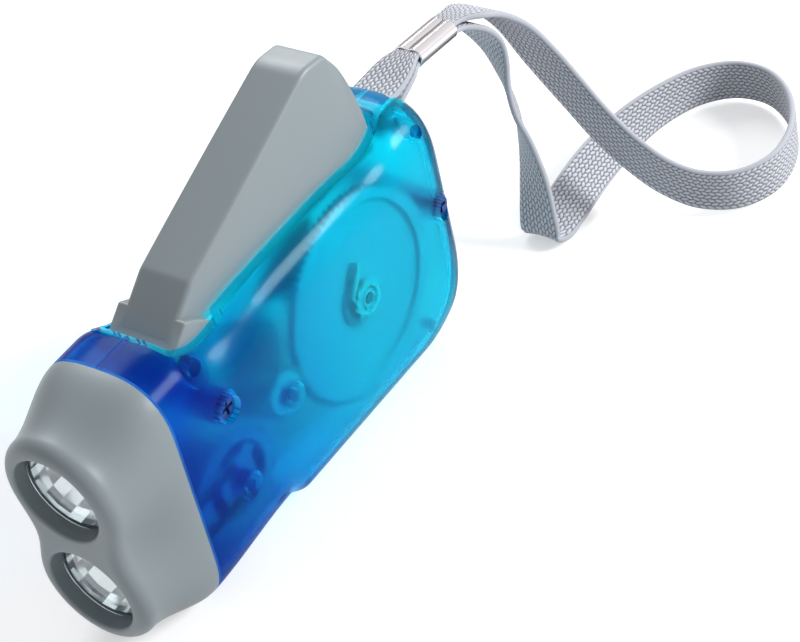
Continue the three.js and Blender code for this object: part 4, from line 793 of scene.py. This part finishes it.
def spring_bay():
    """The room for the spring round the barrel, kept behind the plane of the lever's front."""
    slope = (TOE[1] - KNEE[1]) / (TOE[0] - KNEE[0])
    plane = [(x, KNEE[1] - FRONT_WALL + slope * (x - KNEE[0])) for x in (BAY_REAR, BAY_FRONT)]
    behind = plate([*plane, (BAY_FRONT, BAY_FLOOR), (BAY_REAR, BAY_FLOOR)], -FAR, FAR)
    return combine(bar_y(BARREL + GAP, BAY_LOW, BAY_HIGH, *PIVOT), [behind], "INTERSECT")


def lever():
    """The hollow grey lever: its body, its wide foot and the barrel on its hinge."""
    profile = [(TOE[0], ROOT), TOE, CREST, LEDGE, LEDGE_REAR, (LEDGE_REAR[0], ROOT)]
    foot = soft_plate(rounded(profile, FOOT_BENDS, 4), FOOT_HALF, FOOT_EDGE)
    web = box_mesh((PIVOT[0] - BARREL, -FOOT_HALF, PIVOT[1]), (TOE[0] - WEB_BACK, FOOT_HALF, ROOT + GAP))
    barrel = bar_y(BARREL, -FOOT_HALF, FOOT_HALF, *PIVOT)
    solid = combine(lever_form(0.0, LEVER_EDGE), [foot, barrel, web], "UNION")
    hollow = lever_form(LEVER_WALL, HOLLOW_EDGE)
    arm = box_mesh((ARM_REAR, -ARM_HALF, ARM_LOW), (PIVOT[0], ARM_HALF, ARM_HIGH))
    bore = bar_y(BORE, -FAR, FAR, *PIVOT)
    solid = combine(solid, [hollow, spring_bay(), arm, bore], "DIFFERENCE")
    piece("squeeze_lever", solid, "grey_moulding", body="lever", replaces=("lever",))


def hinge_pin():
    """The lever's hinge pin, ending inside its two bosses."""
    pin = bar_y(PIN_RADIUS, -PIN_HALF, PIN_HALF, *PIVOT, edge=PIN_EDGE)
    piece("hinge_pin", pin, "steel", replaces=("lever_pivot_pin",))


AXIS, PITCH, LOBE, WAIST = 25.5, 21.2, 11.7, 9.6
RECESS, RECESS_DEPTH, RECESS_RIM = 8.55, 2.75, 0.55
NOSE, HEAD_WALL, FACE_WALL, HEAD_CHAMFER = 2.7, 1.8, 4.6, 0.25
LAMPS = {"upper": AXIS + PITCH / 2, "lower": AXIS - PITCH / 2}
LENS_RADIUS, LENS_THICKNESS, DOME_RISE, DOME_INSET = RECESS - GAP, 1.2, 0.55, 0.4
LENS_BACK = HALF_LENGTH - RECESS_DEPTH - LENS_THICKNESS
BEVEL_LOW, BEVEL_HIGH, BEVEL_INSET = 0.35, 0.1, 0.12
BOWL_DEPTH, BOWL_THROAT, BOWL_WALL, THROAT_WALL, FACETS = 8.2, 3.1, 0.6, 0.3, 18
BOWL_ROW_SHARES = [0.0, 0.1, 0.26, 0.48, 0.74, 1.0]
DIODE_FOOT, DIODE_TOP, DIODE_RADIUS = JOINT_X + 1.8, JOINT_X + 9.8, 2.5
DIODE_FLANGE, FLANGE_HEIGHT = 2.9, 1.0
CHIP_HALF, CHIP_LOW, CHIP_HIGH = 0.6, 1.5, 2.6


def head_ring(x, share, inset):
    """The head's section at x, at a share of the way from the casing's form to the double lobe."""
    ease = smooth(share)
    radius = lerp(EDGE_RADIUS, LOBE, ease) - inset
    return section(
        x, lerp(HALF_WIDTH, LOBE, ease) - inset, lerp(TOP, AXIS + PITCH / 2 + LOBE, ease) - inset,
        lerp(HEAD_RISE - BELLY_SHAVE, AXIS - PITCH / 2 - LOBE, ease) + inset, radius,
        lerp(EDGE_POWER, 2, ease), lerp(HALF_WIDTH, WAIST, ease) - inset, side_points=24,
    )


def recess(z):
    """What a lamp's recess takes out of the cover: a round well with a soft rim."""
    start, rim, end = JOINT_X + OVERRUN, HALF_LENGTH - RECESS_RIM, HALF_LENGTH + OVERRUN
    profile = [(start, 0.0), (start, RECESS), (rim, RECESS)]
    for a in quarter(7)[1:]:
        profile.append((rim + RECESS_RIM * math.sin(a), RECESS + RECESS_RIM * (1 - math.cos(a))))
    profile += [(end, RECESS + RECESS_RIM), (end, 0.0)]
    return revolve_x(profile, z)


def head():
    """The grey cover: a lofted double lobe with a rounded nose and two recesses."""
    straight, start = HALF_LENGTH - NOSE, JOINT_X + GAP
    rings = [head_ring(start, 0, HEAD_CHAMFER), head_ring(start + HEAD_CHAMFER, 0, 0)]
    rings += [head_ring(lerp(start, straight, t), t, 0) for t in np.linspace(0.04, 1, 26)]
    for a in quarter(13)[1:]:
        rings.append(head_ring(straight + NOSE * math.sin(a), 1, NOSE * (1 - math.cos(a))))
    inner = [head_ring(JOINT_X - OVERRUN, 0, HEAD_WALL)]
    for x in np.linspace(JOINT_X, HALF_LENGTH - FACE_WALL, 14):
        inner.append(head_ring(x, (x - JOINT_X) / (straight - JOINT_X), HEAD_WALL))
    tools = [loft(inner), *[recess(z) for z in LAMPS.values()]]
    cover = combine(loft(rings), tools, "DIFFERENCE")
    piece("lamp_head_cover", cover, "grey_moulding", replaces=("head_cover",))


def lens(place, z):
    """A lamp's lens: a disc with a chamfered edge and a shallow dome."""
    face, dome = LENS_BACK + LENS_THICKNESS, LENS_RADIUS - DOME_INSET
    profile = [(LENS_BACK, 0.0), (LENS_BACK, LENS_RADIUS), (face - BEVEL_LOW, LENS_RADIUS)]
    profile += [(face - BEVEL_HIGH, LENS_RADIUS - BEVEL_INSET), (face, dome)]
    profile += [(face + DOME_RISE * (1 - (r / dome) ** 2), r) for r in np.linspace(dome, 0, 12)[1:]]
    piece(f"{place}_lamp_lens", revolve_x(profile, z), "lens", replaces=(f"{place}_lens",))


def mirror(place, z):
    """A lamp's faceted mirror bowl."""
    front = LENS_BACK - GAP
    radii = [lerp(BOWL_THROAT, LENS_RADIUS, math.sqrt(1 - t)) for t in BOWL_ROW_SHARES]
    bowl = [(front - BOWL_DEPTH * t, radius) for t, radius in zip(BOWL_ROW_SHARES, radii)]
    bowl += [(x, max(BOWL_THROAT - THROAT_WALL, r - BOWL_WALL)) for x, r in reversed(bowl)]
    rings = [[(x, r * math.cos(a), z + r * math.sin(a)) for x, r in bowl] for a in full_turn(FACETS, 0.5)]
    shell = loft(rings, closed=True)
    piece(f"{place}_mirror", shell, "mirror", angle=1.0, replaces=(f"{place}_reflector",))


def diode(place, z):
    """A lamp's diode: a round-nosed body with a flange, and the yellow chip inside it."""
    flange_top, nose = DIODE_FOOT + FLANGE_HEIGHT, DIODE_TOP - DIODE_RADIUS
    profile = [(DIODE_FOOT, 0.0), (DIODE_FOOT, DIODE_FLANGE)]
    profile += [(flange_top, DIODE_FLANGE), (flange_top, DIODE_RADIUS)]
    profile += [(nose + DIODE_RADIUS * math.sin(a), DIODE_RADIUS * math.cos(a)) for a in quarter(10)]
    piece(f"{place}_diode", revolve_x(profile, z, 48), "lens", replaces=(f"{place}_led",))
    low = (DIODE_FOOT + CHIP_LOW, -CHIP_HALF, z - CHIP_HALF)
    high = (DIODE_FOOT + CHIP_HIGH, CHIP_HALF, z + CHIP_HALF)
    chip = piece(f"{place}_diode_chip", box_mesh(low, high), "lens")
    chip.data.materials[0] = LOOKS["phosphor"]


def lamps():
    """Both lamps behind the cover's face."""
    for place, z in LAMPS.items():
        lens(place, z)
        mirror(place, z)
        diode(place, z)


STRAP_WIDTH, STRAP_THICKNESS, PINCHED, HALF_PINCHED = 9.2, 1.3, 5.34, 7.6
# How far from the ferrule the loop starts to widen, and over what length.
WIDEN_FROM, WIDEN_LENGTH = 3.5, 7.0
# The tail's turn round the pin, as a radius and radians to each side, and half its layers' distance.
TAIL_TURN, TAIL_SWEEP, LAYER_RISE = 2.3, 1.75, 0.8
# The loop's centre line in metres, each with the direction of the webbing's width there.
ROUTE = [
    (-.0679, 0, .0499, 0, 1, 0), (-.0709, 0, .0496, 0, 1, 0), (-.076, .0003, .0481, 0, 1, 0),
    (-.0816, .0011, .0446, .1, 1, .1), (-.0864, .0029, .0386, .1, 1, .3), (-.089, .0064, .0304, 0, 1, .7),
    (-.0893, .012, .0232, 0, .8, 1), (-.0882, .0186, .0174, 0, .6, 1), (-.0876, .0252, .0126, 0, .35, 1),
    (-.088, .0316, .0086, 0, .15, 1), (-.0896, .0378, .0061, 0, 0, 1), (-.093, .044, .0053, 0, 0, 1),
    (-.0992, .048, .0053, 0, 0, 1), (-.1066, .0482, .0053, 0, 0, 1), (-.1144, .0454, .0053, 0, 0, 1),
    (-.121, .0404, .0053, 0, 0, 1), (-.1248, .034, .0053, 0, 0, 1), (-.1246, .027, .0053, 0, 0, 1),
    (-.1202, .021, .0053, 0, -.05, 1), (-.1134, .0172, .0052, 0, -.15, 1),
    (-.106, .0148, .0049, 0, -.35, 1), (-.0984, .0134, .0043, 0, -.7, 1),
    (-.0908, .013, .0039, 0, -1, 1), (-.0834, .0131, .0032, 0, -1, .65),
    (-.077, .0134, .0024, 0, -1, .35), (-.073, .0134, .0015, 0, -1, .05), (-.071, .0126, .0022, 0, -1, 0),
    (-.0714, .0122, .0053, -.1, -1, 0), (-.0729, .0114, .0097, -.3, -1, 0),
    (-.0754, .0096, .0148, -.6, -1, 0), (-.0777, .0074, .0196, -.9, -1, 0),
    (-.0793, .0052, .0242, -1.2, -1, 0), (-.0806, .0032, .029, -1, -1, 0),
    (-.0814, .0016, .0342, -.5, -1, 0), (-.0802, .0006, .0396, -.1, -1, 0),
    (-.0764, 0, .0448, 0, -1, 0), (-.071, 0, .0479, 0, -1, 0), (-.0679, 0, .0483, 0, -1, 0),
]
FERRULE_START = np.array((-57.6, 0.2, 50.2))
FERRULE_END = np.array((-69.4, 0.0, 48.9))
# Places on the tail's two layers between the ferrule and the casing.
UPPER_LAYER = [np.array((-54.5, 0.1, 50.7)), np.array((-49.5, 0, 49.9))]
LOWER_LAYER = [np.array((-49.5, 0, 47.9)), np.array((-54.5, 0.1, 49.0))]
SLEEVE_OFFSET, SLEEVE_RADIUS, SLEEVE_MOUTH, SLEEVE_BORE, SLEEVE_EDGE = 1.25, 1.95, 1.8, 1.66, 0.12


def band_section(width, thickness, rows=9):
    """A flat band's section with full round edges, as (across, up) pairs."""
    radius = thickness / 2
    flat = width / 2 - radius
    bend = np.linspace(0, math.pi, 7)[1:-1]
    ring = [(lerp(-flat, flat, k / rows), radius) for k in range(rows + 1)]
    ring += [(flat + radius * math.sin(a), radius * math.cos(a)) for a in bend]
    ring += [(lerp(flat, -flat, k / rows), -radius) for k in range(rows + 1)]
    ring += [(-flat - radius * math.sin(a), -radius * math.cos(a)) for a in bend]
    return ring


def ribbon(name, stations):
    """Webbing through stations of (place, width direction, width), with its length and width as UV."""
    places = np.array([place for place, _, _ in stations])
    steps = np.linalg.norm(np.diff(places, axis=0), axis=1)
    along = np.concatenate([[0], np.cumsum(steps)])
    rings, uvs = [], []
    for (place, wide, width), tangent, distance in zip(stations, np.gradient(places, axis=0), along):
        t, w = unit(tangent), np.array(wide, float)
        w = unit(w - t * w.dot(t))
        u = np.cross(t, w)
        band = band_section(width, STRAP_THICKNESS)
        rings.append([place + w * a + u * b for a, b in band])
        uvs += [(distance, a * STRAP_WIDTH / width) for a, _ in band]
    mesh = loft(rings)
    layer = mesh.uv_layers.new(name="ribbon")
    for loop in mesh.loops:
        layer.data[loop.index].uv = uvs[loop.vertex_index]
    return shown(name, mesh, "webbing", angle=60)


def tail_stations():
    """Stations along the tail: from the ferrule into the casing, round the pin and back."""
    rise, pin = np.array((0, 0, LAYER_RISE)), np.array((PIN[0], 0, PIN[1]))
    sweep = np.linspace(TAIL_SWEEP, -TAIL_SWEEP, 12)
    turn = [pin + TAIL_TURN * np.array((math.cos(a), 0, math.sin(a))) for a in sweep]
    way_in = [FERRULE_END + rise, FERRULE_START + rise, *UPPER_LAYER]
    way_out = [*LOWER_LAYER, FERRULE_START - rise, FERRULE_END - rise]
    widening = [PINCHED, PINCHED, HALF_PINCHED, STRAP_WIDTH]
    widths = widening + [STRAP_WIDTH] * len(turn) + widening[::-1]
    places = [*way_in, *turn, *way_out]
    curve, _ = catmull([(*place, width) for place, width in zip(places, widths)], samples=160)
    return [(row[:3], (0, 1, 0), row[3]) for row in curve]


def strap():
    """One length of webbing: from the ferrule round its pin and back, and round the free loop."""
    route = [(*(np.array(p[:3]) / MM), *p[3:]) for p in ROUTE]
    loop, length = catmull(route, samples=420)
    share = np.linspace(0, 1, len(loop))
    from_end = np.minimum(share, 1 - share) * length
    widths = [lerp(PINCHED, STRAP_WIDTH, smooth((reach - WIDEN_FROM) / WIDEN_LENGTH)) for reach in from_end]
    obj = ribbon("wrist_strap_loop", [(row[:3], row[3:], width) for row, width in zip(loop, widths)])
    tail = ribbon("wrist_strap_tail", tail_stations())
    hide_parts("strap_loop")
    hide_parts("strap_tail")
    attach(obj, "housing")
    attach(tail, "housing")
    path = [tuple(row[:3] * MM) for row in loop[::4]]
    return obj, tail, path, length


def ferrule():
    """The bright metal sleeve, pressed round both layers of the webbing as two barrels side by side."""
    length = np.linalg.norm(FERRULE_END - FERRULE_START)
    axis, wide = unit(FERRULE_END - FERRULE_START), np.array((0.0, 1.0, 0.0))
    up = np.cross(wide, axis)

    def ring(distance, radius):
        out = []
        meet = math.acos(-SLEEVE_OFFSET / radius)
        for side in (1, -1):
            for a in np.linspace(-meet, meet, 37)[:-1]:
                across, rise = side * (SLEEVE_OFFSET + radius * math.cos(a)), side * radius * math.sin(a)
                out.append(tuple(FERRULE_START + axis * distance + wide * across + up * rise))
        return out

    outside = [(0, SLEEVE_MOUTH), (SLEEVE_EDGE, SLEEVE_RADIUS), (length - SLEEVE_EDGE, SLEEVE_RADIUS)]
    outside.append((length, SLEEVE_MOUTH))
    rings = [ring(*each) for each in [*outside, (length, SLEEVE_BORE), (0, SLEEVE_BORE)]]
    return piece("strap_sleeve", loft(rings, closed=True), "ferrule", angle=40, replaces=("strap_ferrule",))


CAMERA_PLACE, FOCAL_LENGTH, SENSOR_WIDTH = (0.2150, 0.2359, 0.2910), 106.74, 36
CAMERA_RIGHT, CAMERA_BACK = (-0.549, 0.816, -0.183), (0.562, 0.522, 0.641)
OBJECT_MIDDLE = (0, 0, 0.03)
FLOOR_HALF, FLOOR_DROP = 3.0, 0.0002


def camera():
    """The camera as it was fitted to the photo."""
    data = bpy.data.cameras.new("camera")
    obj = put("camera", data)
    back = Vector(CAMERA_BACK).normalized()
    up = back.cross(Vector(CAMERA_RIGHT)).normalized()
    right = up.cross(back).normalized()
    turn = Matrix((right, up, back)).transposed().to_4x4()
    obj.matrix_world = Matrix.Translation(CAMERA_PLACE) @ turn
    data.sensor_width = SENSOR_WIDTH
    data.lens = FOCAL_LENGTH
    data.clip_start = 0.01
    bpy.context.scene.camera = obj


def lamp(name, place, size, power):
    """A round soft lamp turned to the object."""
    data = bpy.data.lights.new(name, "AREA")
    data.shape = "DISK"
    data.size = size
    data.energy = power
    obj = put(name, data)
    way = Vector(place) - Vector(OBJECT_MIDDLE)
    obj.matrix_world = Matrix.Translation(place) @ way.to_track_quat("Z", "Y").to_matrix().to_4x4()


def seen_rays(tree):
    """One for the rays that the camera, mirrors and clear plastic see by."""
    rays = add(tree, "ShaderNodeLightPath")
    seen = maths(tree, "MAXIMUM", rays.outputs["Is Camera Ray"], rays.outputs["Is Glossy Ray"])
    return maths(tree, "MAXIMUM", seen, rays.outputs["Is Transmission Ray"])


def studio():
    """A soft pale room that the camera, mirrors and clear plastic see as white."""
    scene = bpy.context.scene
    scene.view_settings.view_transform = "Standard"
    scene.world = bpy.data.worlds.new("studio")
    tree = node_tree(scene.world)
    join = tree.links.new
    out = add(tree, "ShaderNodeOutputWorld")
    soft = add(tree, "ShaderNodeBackground", Strength=0.38, Color=(0.95, 0.97, 1.0, 1))
    white = add(tree, "ShaderNodeBackground", Strength=1.0)
    mix = add(tree, "ShaderNodeMixShader")
    join(seen_rays(tree), mix.inputs["Fac"])
    join(soft.outputs["Background"], mix.inputs[1])
    join(white.outputs["Background"], mix.inputs[2])
    join(mix.outputs["Shader"], out.inputs["Surface"])
    lamp("key", (-0.45, 0.65, 0.46), size=0.32, power=7.4)
    lamp("overhead", (-0.5, -0.47, 0.61), size=0.5, power=4.8)


def pale_floor():
    """Matt grey that glows to the rays that see it, so that it looks white apart from its shadows."""
    material, tree, join, out = new_material("floor")
    matt = add(tree, "ShaderNodeBsdfDiffuse", Roughness=0.5, Color=(0.8, 0.8, 0.8, 1))
    glow = add(tree, "ShaderNodeEmission", Strength=0.45)
    both = add(tree, "ShaderNodeAddShader")
    mix = add(tree, "ShaderNodeMixShader")
    join(matt.outputs["BSDF"], both.inputs[0])
    join(glow.outputs["Emission"], both.inputs[1])
    join(seen_rays(tree), mix.inputs["Fac"])
    join(matt.outputs["BSDF"], mix.inputs[1])
    join(both.outputs["Shader"], mix.inputs[2])
    join(mix.outputs["Shader"], out.inputs["Surface"])
    return material


def floor():
    """A plain floor just under the object."""
    mesh = bpy.data.meshes.new("floor")
    corners = [(-FLOOR_HALF, -FLOOR_HALF, 0), (FLOOR_HALF, -FLOOR_HALF, 0), (FLOOR_HALF, FLOOR_HALF, 0),
               (-FLOOR_HALF, FLOOR_HALF, 0)]
    mesh.from_pydata(corners, [], [(0, 1, 2, 3)])
    mesh.materials.append(pale_floor())
    obj = put("floor", mesh)
    obj.location.z = -FLOOR_DROP


def dress():
    """Gives every CAD node the look of its material slot, or its own."""
    for part in frame["record"]["subparts"]:
        mesh = frame["nodes"][part["node"]].data
        mesh.materials.clear()
        mesh.materials.append(LOOKS[OWN_LOOKS.get(part["node"], part["material_slot"])])
        soften(mesh, angle=35)


camera()
studio()
floor()
dress()
casing()
head()
lever()
hinge_pin()
lamps()
sleeve = ferrule()
loop, tail, path, length = strap()
